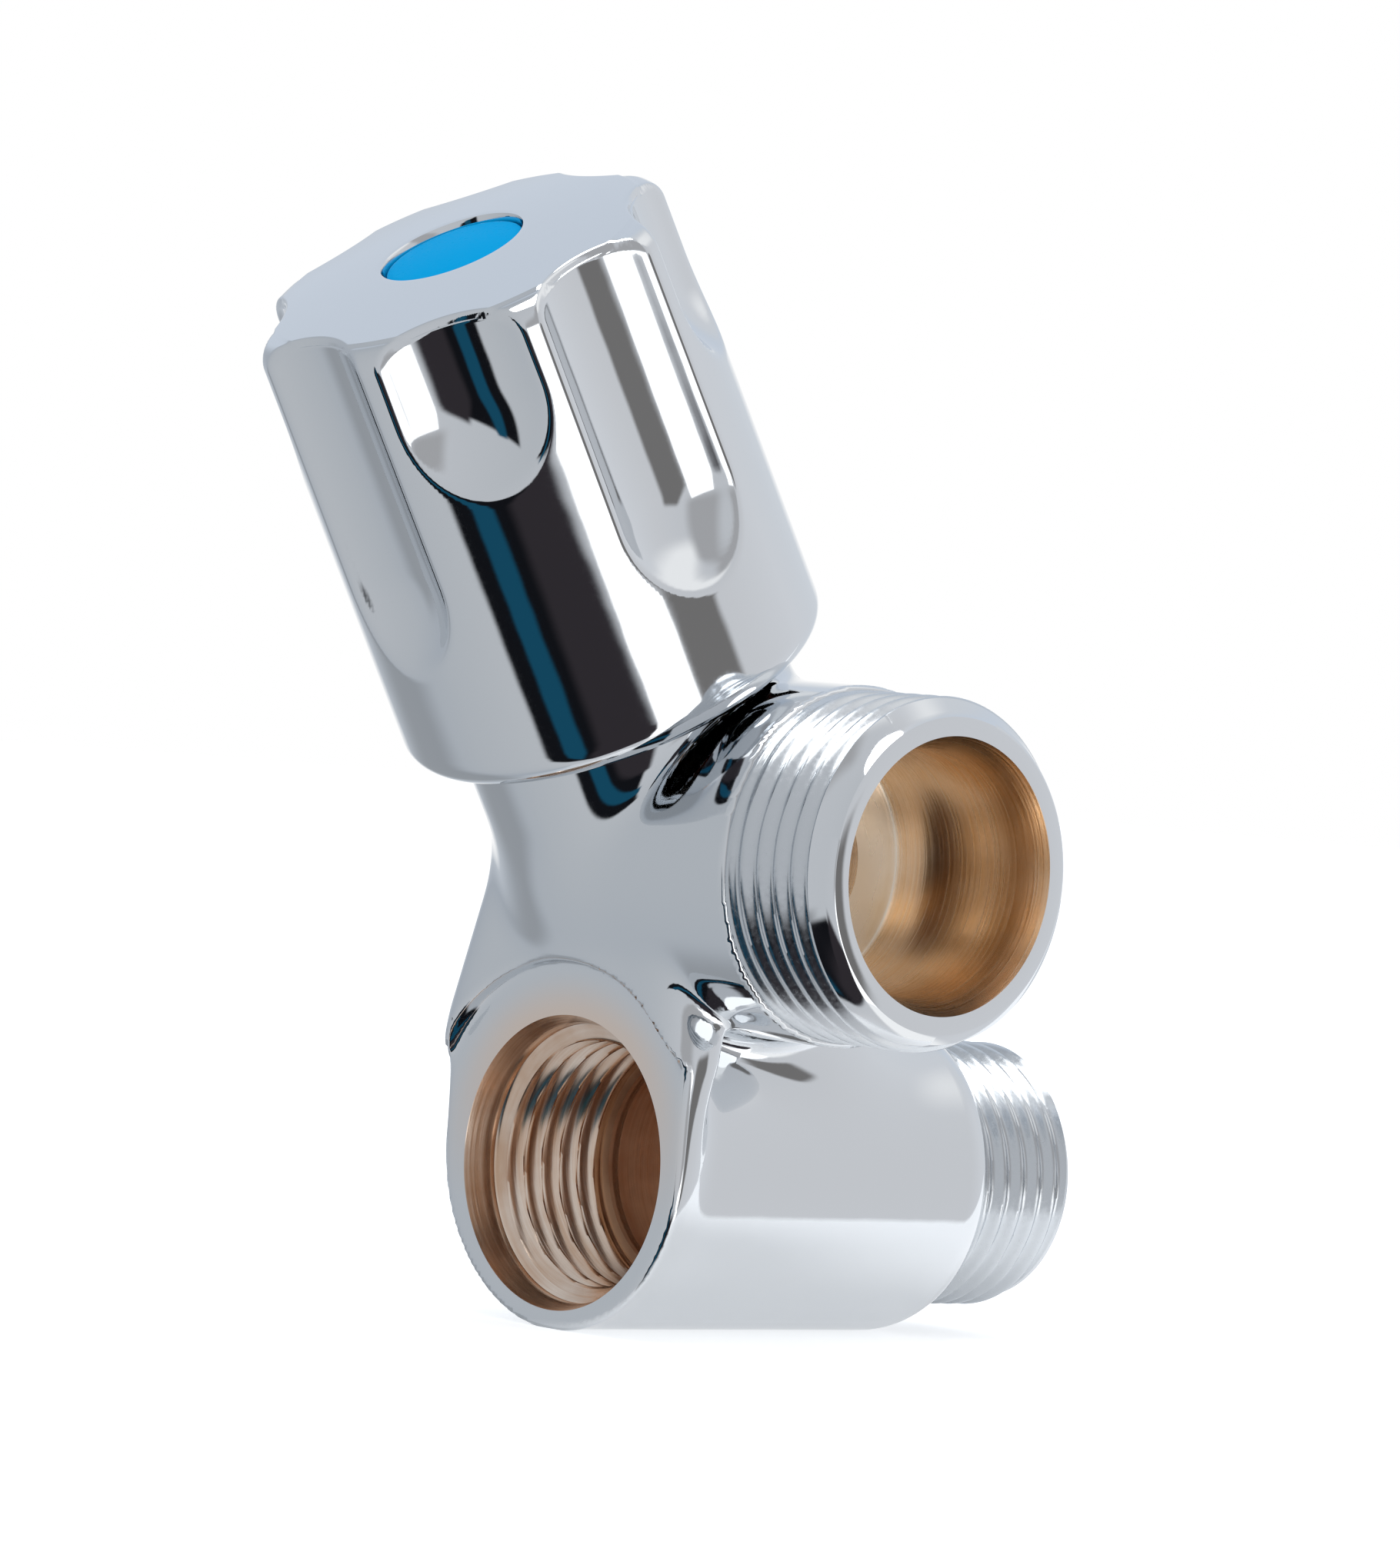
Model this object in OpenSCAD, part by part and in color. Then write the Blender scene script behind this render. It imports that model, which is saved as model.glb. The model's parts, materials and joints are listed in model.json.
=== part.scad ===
// Appliance connection valve for a wall outlet.
// A threaded tail screws into the wall, the port in front of it takes the old fitting, and a
// hose outlet at the side is opened and closed by a fluted handwheel on a leaning headwork.
// The tube axis is Y, with the tail at +Y and the front port at -Y. The outlet points along +X.
// The origin is on the tube axis, where the tail thread starts at the shoulder of the casting.

/* [Through tube] */
// Outer diameter of the through tube
tube_d = 25.1; // [24:0.1:28]
// Length from the tail shoulder to the face of the front port
body_len = 35.5; // [34:0.5:44]
// Radius of the rounded shoulder at the tail end of the tube
shoulder_r = 4.8; // [3:0.1:6]
// Bore through the middle of the tube
passage_d = 17.2; // [15:0.1:18]
// Length of the tail beyond the shoulder
tail_len = 9.2; // [7:0.1:14]
// Outside diameter of the tail thread, half inch pipe thread
tail_thread_d = 20.955; // [20.5:0.005:21.5]
// Bore through the tail
tail_bore_d = 14.8; // [12:0.1:16]
// Length of the narrow bore that starts at the tail end
tail_bore_len = 14; // [10:0.5:16]
// Chamfer at the end of the tail
tail_chamfer = 0.6; // [0.4:0.1:1.2]

/* [Front port] */
// Core diameter of the thread in the front port, half inch pipe thread
port_d = 18.63; // [18.3:0.01:19]
// Depth of the front port's thread from the face
port_depth = 13; // [11:0.5:16]
// Diameter of the smooth lead-in in front of the thread
lead_in_d = 21.2; // [20.9:0.05:21.4]
// Depth of the lead-in
lead_in_depth = 2.9; // [2:0.1:4]
// Diameter of the chamfered mouth
mouth_d = 22.3; // [22:0.05:22.6]
// Depth of the mouth's chamfer
mouth_depth = 1.7; // [0.8:0.1:1.9]
// Diameter of the casting's collar round the port
collar_d = 27.6; // [26.8:0.1:28.6]
// How far the collar's centre sits above the tube axis
collar_rise = 2; // [1:0.1:2.5]
// Length of the straight collar behind the face
collar_t = 1.4; // [1:0.1:4]
// Length over which the collar runs out into the tube
collar_runout = 6; // [3:0.5:9]
// How far the casting stands proud round the faced port
column_proud = 2; // [1:0.1:2.4]
// Diameter of the cutter that faces the port
facing_d = 30.5; // [29.5:0.1:31.5]

/* [Hose outlet] */
// Height of the outlet axis above the tube axis
outlet_rise = 24.2; // [23.5:0.1:27]
// Distance from the spindle plane to the outlet's sealing face
outlet_reach = 29.6; // [27:0.1:36]
// Outside diameter of the outlet thread, three quarter inch pipe thread
outlet_thread_d = 26.44; // [26.1:0.01:27]
// Length of the outlet thread with its chamfer
outlet_thread_len = 10.2; // [9:0.1:13]
// Diameter of the plain boss behind the thread
boss_d = 27.1; // [26.9:0.1:28.5]
// Outer diameter of the flat sealing face
seal_face_d = 23.6; // [23:0.1:25]
// Diameter of the conical bore mouth
outlet_mouth_d = 20.66; // [20:0.02:21.5]
// Depth of the conical bore mouth
outlet_mouth_depth = 3; // [2:0.1:4]
// Diameter of the straight outlet bore
outlet_bore_d = 18.6; // [18:0.1:19]
// Depth of the straight outlet bore from the face
outlet_bore_depth = 15.3; // [12:0.1:16]
// Diameter of the passage between the valve chamber and the outlet bore
outlet_hole_d = 9.2; // [8:0.1:10]

/* [Neck and seat] */
// Lean of the spindle axis from the vertical, towards the front port
spindle_lean = 32.5; // [28:0.5:35]
// Distance from the tail shoulder to the crossing of the spindle and tube axes
cross_back = 10.6; // [9:0.1:14]
// Outer diameter of the neck that holds the headwork
neck_d = 25.7; // [25.3:0.1:27]
// Top of the neck, measured along the spindle from the outlet axis
neck_top = 15.4; // [15:0.1:18]
// Diameter of the valve chamber
chamber_d = 18.8; // [18.4:0.1:19.6]
// Height of the headwork thread in the neck
neck_thread_len = 10; // [8:0.5:10.5]
// Outside diameter of the headwork thread, half inch pipe thread
neck_thread_d = 20.955; // [20.5:0.005:21.5]
// Depth of the valve seat below the outlet axis
seat_depth = 8.5; // [7.5:0.1:9]
// Bore of the valve seat
seat_bore_d = 11; // [10:0.1:11.6]
// Outer diameter of the raised seat ring
seat_ring_d = 13.8; // [13.2:0.1:14.4]
// Height of the raised seat ring
seat_ring_h = 1; // [0.6:0.1:1.5]

/* [Plunger] */
// Travel of the plunger between closed and fully open
lift = 4.32; // [3:0.01:4.4]
// Diameter of the soft seat washer
washer_d = 14.6; // [14:0.1:15]
// Thickness of the soft seat washer
washer_t = 3; // [2.5:0.1:3.4]
// Outer diameter of the cup that holds the washer
cup_d = 16.6; // [16:0.1:17.4]
// Height of the cup's rim round the washer
cup_rim_h = 2.2; // [1.5:0.1:2.4]
// Thickness of the cup's floor
cup_floor_t = 1.8; // [1.4:0.1:2.4]
// Diameter of the plunger's round stem
stem_d = 13.2; // [12.8:0.1:13.4]
// Width of the plunger's guide hexagon across its flats
guide_af = 11; // [10.8:0.1:11.2]
// Length of the guide hexagon
guide_len = 9; // [8:0.1:10]
// Diameter of the stud that holds the seat washer
stud_d = 4; // [3:0.1:4.5]
// Width of the washer nut across its flats
nut_af = 7; // [6.5:0.1:8]
// Height of the washer nut
nut_h = 2.4; // [2:0.1:3]
// Diameter of the plate under the washer nut
plate_d = 8.8; // [8.4:0.1:9.4]
// Thickness of the plate under the washer nut
plate_t = 0.8; // [0.5:0.1:1]

/* [Headwork] */
// Width of the headwork's hexagon across its flats
bonnet_af = 19; // [17:0.1:21]
// Height of the headwork's hexagon
bonnet_hex_h = 3.6; // [3:0.1:4]
// Diameter of the round flange under the hexagon
flange_d = 24.6; // [23.6:0.1:25.4]
// Thickness of the round flange
flange_t = 1.4; // [1:0.1:1.8]
// Diameter of the plain barrel inside the chamber
barrel_d = 17.8; // [17:0.1:18]
// Diameter of the gland above the hexagon
gland_d = 14.4; // [13.8:0.1:15.5]
// Length of the gland bore above its inner shoulder
gland_len = 6.4; // [6:0.1:8]
// Thickness of the flat gasket under the hexagon
gasket_t = 0.8; // [0.5:0.1:1.5]
// Diameter of an O-ring's section
oring_t = 1.5; // [1.3:0.05:1.6]

/* [Spindle] */
// Diameter of the spindle where it runs in the gland
spindle_d = 9; // [8.6:0.1:9.4]
// Diameter of the spindle's lifting thread
screw_d = 7.8; // [7:0.1:8.2]
// Length of the lifting thread inside the plunger when closed
screw_grip = 6.5; // [5.5:0.1:7]
// Diameter of the spindle's thrust collar
thrust_d = 11; // [10.4:0.1:11]
// Thickness of the thrust collar
thrust_t = 1.5; // [1:0.1:2]
// Thickness of the slide washer above the thrust collar
slide_washer_t = 0.5; // [0.4:0.05:0.8]
// Outer diameter of the spindle's splines
spline_d = 8; // [7.6:0.1:8.4]
// Depth of a spline tooth
spline_depth = 0.4; // [0.3:0.05:0.5]
// Number of spline teeth
spline_teeth = 20; // [16:1:24]
// Outer diameter of the retaining clip
clip_d = 11.4; // [11:0.1:12.4]
// Thickness of the retaining clip
clip_t = 0.8; // [0.6:0.1:1]

/* [Handwheel] */
// Outer diameter of the handwheel at its foot
wheel_foot_d = 33.2; // [32.8:0.1:36]
// Outer diameter of the handwheel at its top
wheel_d = 32.7; // [32:0.1:33.2]
// Bottom of the handwheel, measured along the spindle from the outlet axis
wheel_bottom = 14.3; // [13.8:0.1:14.8]
// Height of the handwheel
wheel_h = 37.2; // [37:0.1:40]
// Radius of the domed top
dome_r = 95; // [80:1:160]
// Radius of the rounded edge between the top and the side
top_edge_r = 2; // [1.5:0.1:3]
// Radius of the rounded lower edge
bottom_edge_r = 2; // [1.5:0.1:2.4]
// Number of flutes, alternately long and short
flutes = 8; // [6:2:10]
// Radius of a flute's hollow
flute_r = 7.2; // [6.4:0.1:7.6]
// Depth of a flute at its middle
flute_depth = 2.7; // [2:0.1:2.8]
// Distance from the top to the lower end of a long flute
long_flute = 27; // [24:0.5:28]
// Distance from the top to the lower end of a short flute
short_flute = 14; // [11:0.5:18]
// Turn of the first long flute from the outlet's direction
flute_turn = -2.7; // [-20:0.1:20]
// Inner diameter of the skirt
skirt_bore_d = 27.2; // [26.9:0.1:27.4]
// Height of the wide bore of the skirt
skirt_bore_h = 9; // [8:0.1:10]
// Inner diameter of the shell behind the flutes
shell_bore_d = 23.6; // [23:0.1:24]
// Diameter of the splined hub
hub_d = 13.2; // [12:0.1:15]
// Thickness of the ribs between hub and shell
rib_t = 1.6; // [1:0.1:2.4]
// Distance from the hub's lower end up to the ribs
rib_setback = 7.5; // [4:0.5:10]
// Thickness of the hub's web under the screw head
web_t = 1.8; // [1.4:0.1:2.4]

/* [Screw and index cap] */
// Diameter of the handwheel screw
wheel_screw_d = 4; // [3.5:0.1:4.5]
// Length of the screw below its head
wheel_screw_len = 10; // [8:0.5:12]
// Diameter of the screw head
screw_head_d = 7; // [6.5:0.1:7.4]
// Height of the screw head
screw_head_h = 2.2; // [1.8:0.1:2.4]
// Thickness of the lock washer
lock_washer_t = 0.8; // [0.6:0.1:1]
// Diameter of the round index cap
cap_d = 10.7; // [10.4:0.1:11.4]
// Thickness of the index cap's disc
cap_t = 1.5; // [1.2:0.1:1.8]
// How far the index cap lies below the top of the handwheel
cap_sink = 0.35; // [0.2:0.05:0.5]
// Length of the index cap's snap ring
snap_len = 1; // [0.8:0.1:1.2]
// Room between the screw head and the index cap
cap_room = 1.8; // [1.2:0.1:2.4]

/* [Clearances] */
// Radial clearance of round parts that turn or slide
run_gap = 0.1; // [0.06:0.01:0.14]
// Radial clearance of parts that are screwed or pushed together
seat_gap = 0.05; // [0.03:0.01:0.1]
// Clearance between flat faces that move against each other
face_gap = 0.1; // [0.05:0.01:0.15]
// Clearance at the end of a travel
end_gap = 0.5; // [0.4:0.05:0.7]

/* [Hidden] */
$fn = 96;

// Colours
chrome = [0.80, 0.82, 0.85];
brass = [0.78, 0.58, 0.36];
steel = [0.70, 0.71, 0.72];
rubber = [0.10, 0.10, 0.11];
fibre = [0.55, 0.20, 0.14];
slide_white = [0.90, 0.90, 0.86];
index_blue = [0.0, 0.59, 0.86];

// Where the outlet axis and the spindle axis cross
outlet_y = -cross_back - outlet_rise * tan(spindle_lean);
face_y = -body_len;

// Stations along the spindle, upwards from the outlet axis
seat_s = -seat_depth;
floor_s = seat_s - seat_ring_h;
cross_s = -outlet_rise / cos(spindle_lean);
washer_s = seat_s + face_gap;
cup_floor_s = washer_s + washer_t;
cup_top_s = cup_floor_s + cup_floor_t;
barrel_s = cup_top_s + lift + end_gap;
groove_w = oring_t + 0.3;
plunger_groove_s = barrel_s + 1;
guide_s = plunger_groove_s + groove_w + oring_t;
round_bore_top_s = guide_s + lift + end_gap;
plunger_top_s = guide_s + guide_len;
screw_s = plunger_top_s - screw_grip;
screw_hole_s = screw_s - lift - end_gap;
guide_bore_top_s = plunger_top_s + lift + end_gap;
thrust_s = guide_bore_top_s + face_gap;
slide_washer_s = thrust_s + thrust_t + face_gap / 2;
gland_s = slide_washer_s + slide_washer_t + face_gap;
bonnet_top_s = gland_s + gland_len;
clip_s = bonnet_top_s + face_gap;
spline_s = clip_s + clip_t + 1;
hub_s = spline_s + end_gap;
wheel_top_s = wheel_bottom + wheel_h;
cap_top_s = wheel_top_s - cap_sink;
cap_s = cap_top_s - cap_t;
head_s = cap_s - cap_room - screw_head_h;
web_top_s = head_s - lock_washer_t;
hub_bore_top_s = web_top_s - web_t;
spindle_top_s = hub_bore_top_s - face_gap;
spline_len = spindle_top_s - spline_s;
thread_s = neck_top - neck_thread_len;
flange_s = neck_top + gasket_t;
hex_s = flange_s + flange_t;
hex_top_s = hex_s + bonnet_hex_h;
rib_s = hub_s + rib_setback;

// O-ring glands
gland_bore_r = spindle_d / 2 + run_gap;
ring_ride = 0.04;
spindle_ring_r = gland_bore_r - ring_ride - oring_t / 2;
spindle_groove_r = spindle_ring_r - oring_t / 2 - ring_ride;
lower_ring_s = gland_s + 0.7 + groove_w / 2;
upper_ring_s = bonnet_top_s - 0.7 - groove_w / 2;
plunger_ring_r = stem_d / 2 + run_gap - ring_ride - oring_t / 2;
plunger_groove_r = plunger_ring_r - oring_t / 2 - ring_ride;

// Flute and hexagon geometry
flute_axis_r = wheel_d / 2 - flute_depth + flute_r;
flute_reach = sqrt(pow(flute_r, 2) - pow(flute_axis_r - wheel_d / 2, 2));
hex_share = 1 / cos(30);
skirt_gap = 0.4;
inner_skirt_d = max(skirt_bore_d, neck_d + 2 * skirt_gap, flange_d + 2 * skirt_gap);

// Turns the Z axis of its children to the tube axis, at a distance y along it
module on_tube(y = 0) {
  translate([0, y, 0])
    rotate([-90, 0, 0])
      children();
}

// Turns the Z axis of its children to the outlet axis, at a distance x along it
module on_outlet(x = 0) {
  translate([x, outlet_y, outlet_rise])
    rotate([0, 90, 0])
      children();
}

// Turns the Z axis of its children to the spindle axis, at a station s along it
module on_spindle(s = 0) {
  translate([0, outlet_y, outlet_rise])
    rotate([spindle_lean, 0, 0])
      translate([0, 0, s])
        children();
}

module rod(d, h) {
  cylinder(d = d, h = h);
}

module ring(outer_d, inner_d, h) {
  difference() {
    rod(outer_d, h);
    translate([0, 0, -1])
      rod(inner_d, h + 2);
  }
}

module hexagon(af, h) {
  cylinder(d = af * hex_share, h = h, $fn = 6);
}

module o_ring(middle_r) {
  rotate_extrude()
    translate([middle_r, 0])
      circle(d = oring_t, $fn = 48);
}

// Fluted shaft outline with trapezoid teeth
module spline_outline(outer_r) {
  pitch = 360 / spline_teeth;
  share = [[0.10, 0], [0.40, 0], [0.60, 1], [0.90, 1]];
  polygon([
    for (i = [0 : spline_teeth - 1])
      for (p = share)
        let (a = (i + p[0]) * pitch, r = outer_r - spline_depth * p[1])
          [r * cos(a), r * sin(a)]
  ]);
}

// Tube with its rounded shoulder and the threaded tail, as one turned outline
module tube_and_tail() {
  r = tube_d / 2;
  tail_r = tail_thread_d / 2;
  round_y = sqrt(pow(shoulder_r, 2) - pow(tail_r - r + shoulder_r, 2));
  on_tube()
    rotate_extrude() {
      translate([0, -body_len])
        square([r, body_len - round_y]);
      translate([0, -round_y])
        intersection() {
          square([r, round_y]);
          union() {
            square([r - shoulder_r, shoulder_r]);
            translate([r - shoulder_r, 0])
              circle(r = shoulder_r);
          }
        }
      polygon([
        [0, -body_len / 2],
        [tail_r, -body_len / 2],
        [tail_r, tail_len - tail_chamfer],
        [tail_r - tail_chamfer, tail_len],
        [0, tail_len]
      ]);
    }
}

// Boss of the hose outlet: a round back, a plain boss and the threaded end
module outlet_boss() {
  boss_r = boss_d / 2;
  thread_r = outlet_thread_d / 2;
  face_r = seal_face_d / 2;
  chamfer = thread_r - face_r;
  thread_start = outlet_reach - outlet_thread_len;
  on_outlet()
    rotate_extrude() {
      intersection() {
        circle(r = boss_r);
        translate([0, -boss_r])
          square([boss_r, boss_r + outlet_reach / 4]);
      }
      polygon([
        [0, 0],
        [boss_r, 0],
        [boss_r, thread_start],
        [thread_r, thread_start + (boss_r - thread_r)],
        [thread_r, outlet_reach - chamfer],
        [face_r, outlet_reach],
        [0, outlet_reach]
      ]);
    }
}

// Round slab on the collar's axis, from y towards the tail
module collar_slab(d, y, rise, t) {
  on_tube(y)
    translate([0, -rise, 0])
      cylinder(d = d, h = t, $fn = 48);
}

// Space in front of both the raw casting's front and the neck's foremost line
module front_space() {
  reach = 2 * neck_d;
  intersection() {
    on_tube(face_y - column_proud - reach)
      translate([-reach, -reach, 0])
        cube([2 * reach, 2 * reach, reach]);
    on_spindle(-reach)
      translate([-reach, -reach - neck_d / 2, 0])
        cube([2 * reach, reach, 2 * reach]);
  }
}

// Collar round the front port: swept up into the neck, faced round the port, and run back into the tube
module collar_and_front() {
  sweep_s = neck_d / 5;
  inset = 0.6;
  difference() {
    hull() {
      collar_slab(collar_d, face_y, collar_rise, collar_t);
      collar_slab(collar_d - 2.5 * column_proud, face_y - column_proud, collar_rise, column_proud);
      on_spindle(sweep_s)
        cylinder(d = neck_d - inset, h = 1, $fn = 48);
    }
    front_space();
    on_tube(face_y - neck_d)
      rod(facing_d, neck_d);
  }
  hull() {
    collar_slab(collar_d, face_y, collar_rise, collar_t);
    collar_slab(tube_d - inset, face_y + collar_t, 0, collar_runout);
  }
}

// Neck for the headwork, with the tapered column that carries it on the tube
module neck_and_column() {
  taper_s = floor_s - neck_d / 10;
  foot_s = cross_s + passage_d / 4;
  on_spindle(taper_s)
    rod(neck_d, neck_top - taper_s);
  on_spindle(foot_s)
    cylinder(d1 = seat_bore_d * 1.55, d2 = neck_d, h = taper_s - foot_s);
}

module port_bores() {
  on_tube(face_y - 1)
    rod(port_d, port_depth + 1);
  on_tube(face_y - 1)
    rod(lead_in_d, lead_in_depth + 1);
  on_tube(face_y)
    cylinder(d1 = mouth_d, d2 = lead_in_d, h = mouth_depth);
  on_tube(face_y + port_depth - 1)
    rod(passage_d, body_len + tail_len - port_depth - tail_bore_len + 1);
  on_tube(tail_len - tail_bore_len - 1)
    rod(tail_bore_d, tail_bore_len + 2);
}

module outlet_bores() {
  floor_x = outlet_reach - outlet_bore_depth;
  mouth_x = outlet_reach - outlet_mouth_depth;
  cone_h = (outlet_bore_d - outlet_hole_d) / 2 * tan(30);
  on_outlet(mouth_x)
    cylinder(d1 = outlet_bore_d, d2 = outlet_mouth_d, h = outlet_mouth_depth);
  on_outlet(outlet_reach)
    rod(outlet_mouth_d, 1);
  on_outlet(floor_x)
    rod(outlet_bore_d, outlet_bore_depth - 1);
  on_outlet(floor_x - cone_h)
    cylinder(d1 = outlet_hole_d, d2 = outlet_bore_d, h = cone_h);
  on_outlet()
    rod(outlet_hole_d, floor_x);
}

module chamber_bores() {
  on_spindle(floor_s)
    difference() {
      rod(chamber_d, neck_top - floor_s + 1);
      translate([0, 0, -1])
        rod(seat_ring_d, seat_ring_h + 1);
    }
  on_spindle(thread_s)
    rod(neck_thread_d, neck_thread_len + 1);
  on_spindle(cross_s)
    rod(seat_bore_d, seat_s - cross_s + 1);
}

module valve_body() {
  color(chrome)
    difference() {
      union() {
        tube_and_tail();
        outlet_boss();
        collar_and_front();
        neck_and_column();
      }
      port_bores();
      outlet_bores();
      chamber_bores();
    }
}

module bonnet() {
  color(brass)
    difference() {
      union() {
        on_spindle(barrel_s)
          rod(barrel_d, thread_s - barrel_s + 1);
        on_spindle(thread_s + end_gap)
          rod(neck_thread_d - 2 * seat_gap, flange_s - thread_s - end_gap);
        on_spindle(flange_s)
          rod(flange_d, flange_t);
        on_spindle(hex_s)
          hexagon(bonnet_af, bonnet_hex_h);
        on_spindle(hex_top_s)
          rod(gland_d, bonnet_top_s - hex_top_s);
      }
      on_spindle(barrel_s - 1)
        rod(stem_d + 2 * run_gap, round_bore_top_s - barrel_s + 1);
      on_spindle(round_bore_top_s - 1)
        hexagon(guide_af + 4 * run_gap, guide_bore_top_s - round_bore_top_s + 1);
      on_spindle(guide_bore_top_s - 0.5)
        rod(thrust_d + 2 * run_gap, gland_s - guide_bore_top_s + 0.5);
      on_spindle(gland_s - 1)
        rod(2 * gland_bore_r, gland_len + 2);
    }
}

module bonnet_gasket() {
  color(fibre)
    on_spindle(neck_top)
      ring(min(neck_d, flange_d) - 0.6, neck_thread_d + 2 * seat_gap, gasket_t);
}

module spindle() {
  groove_d = 2 * spindle_groove_r;
  clip_groove_d = spindle_d - 1.2;
  color(brass)
    difference() {
      union() {
        on_spindle(screw_s)
          rod(screw_d, thrust_s - screw_s);
        on_spindle(thrust_s)
          rod(thrust_d, thrust_t);
        on_spindle(thrust_s + thrust_t)
          rod(spindle_d, spline_s - thrust_s - thrust_t);
        on_spindle(spline_s)
          linear_extrude(height = spline_len)
            spline_outline(spline_d / 2);
      }
      for (s = [lower_ring_s, upper_ring_s])
        on_spindle(s - groove_w / 2)
          ring(spindle_d + 2, groove_d, groove_w);
      on_spindle(clip_s)
        ring(spindle_d + 2, clip_groove_d, clip_t + seat_gap);
      on_spindle(spindle_top_s - wheel_screw_len)
        rod(wheel_screw_d + 2 * seat_gap, wheel_screw_len + 1);
    }
}

module spindle_clip() {
  color(steel)
    on_spindle(clip_s)
      difference() {
        ring(clip_d, spindle_d - 1.2 + 2 * seat_gap, clip_t);
        translate([0, -spindle_d / 4, -1])
          cube([clip_d, spindle_d / 2, clip_t + 2]);
      }
}

module slide_washer() {
  color(slide_white)
    on_spindle(slide_washer_s)
      ring(thrust_d, spindle_d + 2 * seat_gap, slide_washer_t);
}

module spindle_o_ring_lower() {
  color(rubber)
    on_spindle(lower_ring_s)
      o_ring(spindle_ring_r);
}

module spindle_o_ring_upper() {
  color(rubber)
    on_spindle(upper_ring_s)
      o_ring(spindle_ring_r);
}

module plunger() {
  stud_end_s = washer_s - plate_t - nut_h - 0.6;
  color(brass)
    difference() {
      union() {
        on_spindle(cup_floor_s - cup_rim_h)
          rod(cup_d, cup_rim_h + cup_floor_t);
        on_spindle(cup_top_s)
          rod(stem_d, guide_s - cup_top_s);
        on_spindle(guide_s)
          hexagon(guide_af, guide_len);
        on_spindle(stud_end_s)
          rod(stud_d, cup_floor_s - stud_end_s);
      }
      on_spindle(cup_floor_s - cup_rim_h - 1)
        ring(washer_d + 2 * seat_gap, stud_d, cup_rim_h + 1);
      on_spindle(plunger_groove_s)
        ring(stem_d + 2, 2 * plunger_groove_r, groove_w);
      on_spindle(screw_hole_s)
        rod(screw_d + 2 * run_gap, plunger_top_s - screw_hole_s + 1);
    }
}

module plunger_o_ring() {
  color(rubber)
    on_spindle(plunger_groove_s + groove_w / 2)
      o_ring(plunger_ring_r);
}

module seat_washer() {
  color(rubber)
    on_spindle(washer_s)
      ring(washer_d, stud_d + 2 * seat_gap, washer_t);
}

module washer_plate() {
  color(steel)
    on_spindle(washer_s - plate_t)
      ring(plate_d, stud_d + 2 * seat_gap, plate_t);
}

module washer_nut() {
  color(brass)
    on_spindle(washer_s - plate_t - nut_h)
      difference() {
        hexagon(nut_af, nut_h);
        translate([0, 0, -1])
          rod(stud_d + 2 * seat_gap, nut_h + 2);
      }
}

// Turned outline of the handwheel: a slight draft, a rounded foot and a domed top
module wheel_outline() {
  foot_r = wheel_foot_d / 2;
  top_r = wheel_d / 2;
  shoulder_z = wheel_h - top_edge_r - dome_drop(top_r - top_edge_r / 2);
  intersection() {
    union() {
      polygon([
        [0, bottom_edge_r],
        [foot_r, bottom_edge_r],
        [top_r, shoulder_z],
        [0, shoulder_z]
      ]);
      square([foot_r - bottom_edge_r, bottom_edge_r + 1]);
      translate([foot_r - bottom_edge_r, bottom_edge_r])
        circle(r = bottom_edge_r);
      translate([0, shoulder_z - 1])
        square([top_r - top_edge_r, wheel_h - shoulder_z + 1]);
      translate([top_r - top_edge_r, shoulder_z])
        circle(r = top_edge_r);
    }
    translate([0, wheel_h - dome_r])
      circle(r = dome_r, $fn = 360);
    square([foot_r, wheel_h]);
  }
}

// How far the dome has fallen at a radius r
function dome_drop(r) = dome_r - sqrt(pow(dome_r, 2) - pow(r, 2));

// Round-ended cutter of one flute, open at the top
module flute_cutter(len) {
  translate([flute_axis_r, 0, wheel_top_s - len + flute_reach])
    rotate_extrude() {
      square([flute_r, len]);
      intersection() {
        circle(r = flute_r);
        translate([0, -flute_r])
          square([flute_r, flute_r]);
      }
    }
}

// Hollow of the handwheel round its hub, with two crossed ribs left standing
module wheel_hollow() {
  shell_top_s = web_top_s - face_gap;
  on_spindle(wheel_bottom - 1)
    rod(inner_skirt_d, skirt_bore_h + 1);
  difference() {
    on_spindle(wheel_bottom)
      rod(shell_bore_d, shell_top_s - wheel_bottom);
    on_spindle(hub_s)
      rod(hub_d, wheel_h);
    for (a = [45, 135])
      on_spindle(rib_s)
        rotate([0, 0, flute_turn + a])
          translate([-shell_bore_d, -rib_t / 2, 0])
            cube([2 * shell_bore_d, rib_t, wheel_h]);
  }
}

module handwheel() {
  head_bore_d = screw_head_d + 2;
  color(chrome)
    difference() {
      on_spindle(wheel_bottom)
        rotate_extrude()
          wheel_outline();
      for (i = [0 : flutes - 1])
        on_spindle()
          rotate([0, 0, flute_turn + i * 360 / flutes])
            flute_cutter(i % 2 == 0 ? long_flute : short_flute);
      wheel_hollow();
      on_spindle(hub_s - 1)
        linear_extrude(height = hub_bore_top_s - hub_s + 1)
          spline_outline(spline_d / 2 + seat_gap);
      on_spindle(hub_bore_top_s - 1)
        rod(wheel_screw_d + 4 * seat_gap, web_t + 2);
      on_spindle(web_top_s)
        rod(head_bore_d, wheel_h);
      on_spindle(cap_s)
        rod(cap_d + 4 * seat_gap, wheel_h);
    }
}

module lock_washer() {
  color(steel)
    on_spindle(web_top_s)
      ring(screw_head_d, wheel_screw_d + 4 * seat_gap, lock_washer_t);
}

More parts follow.
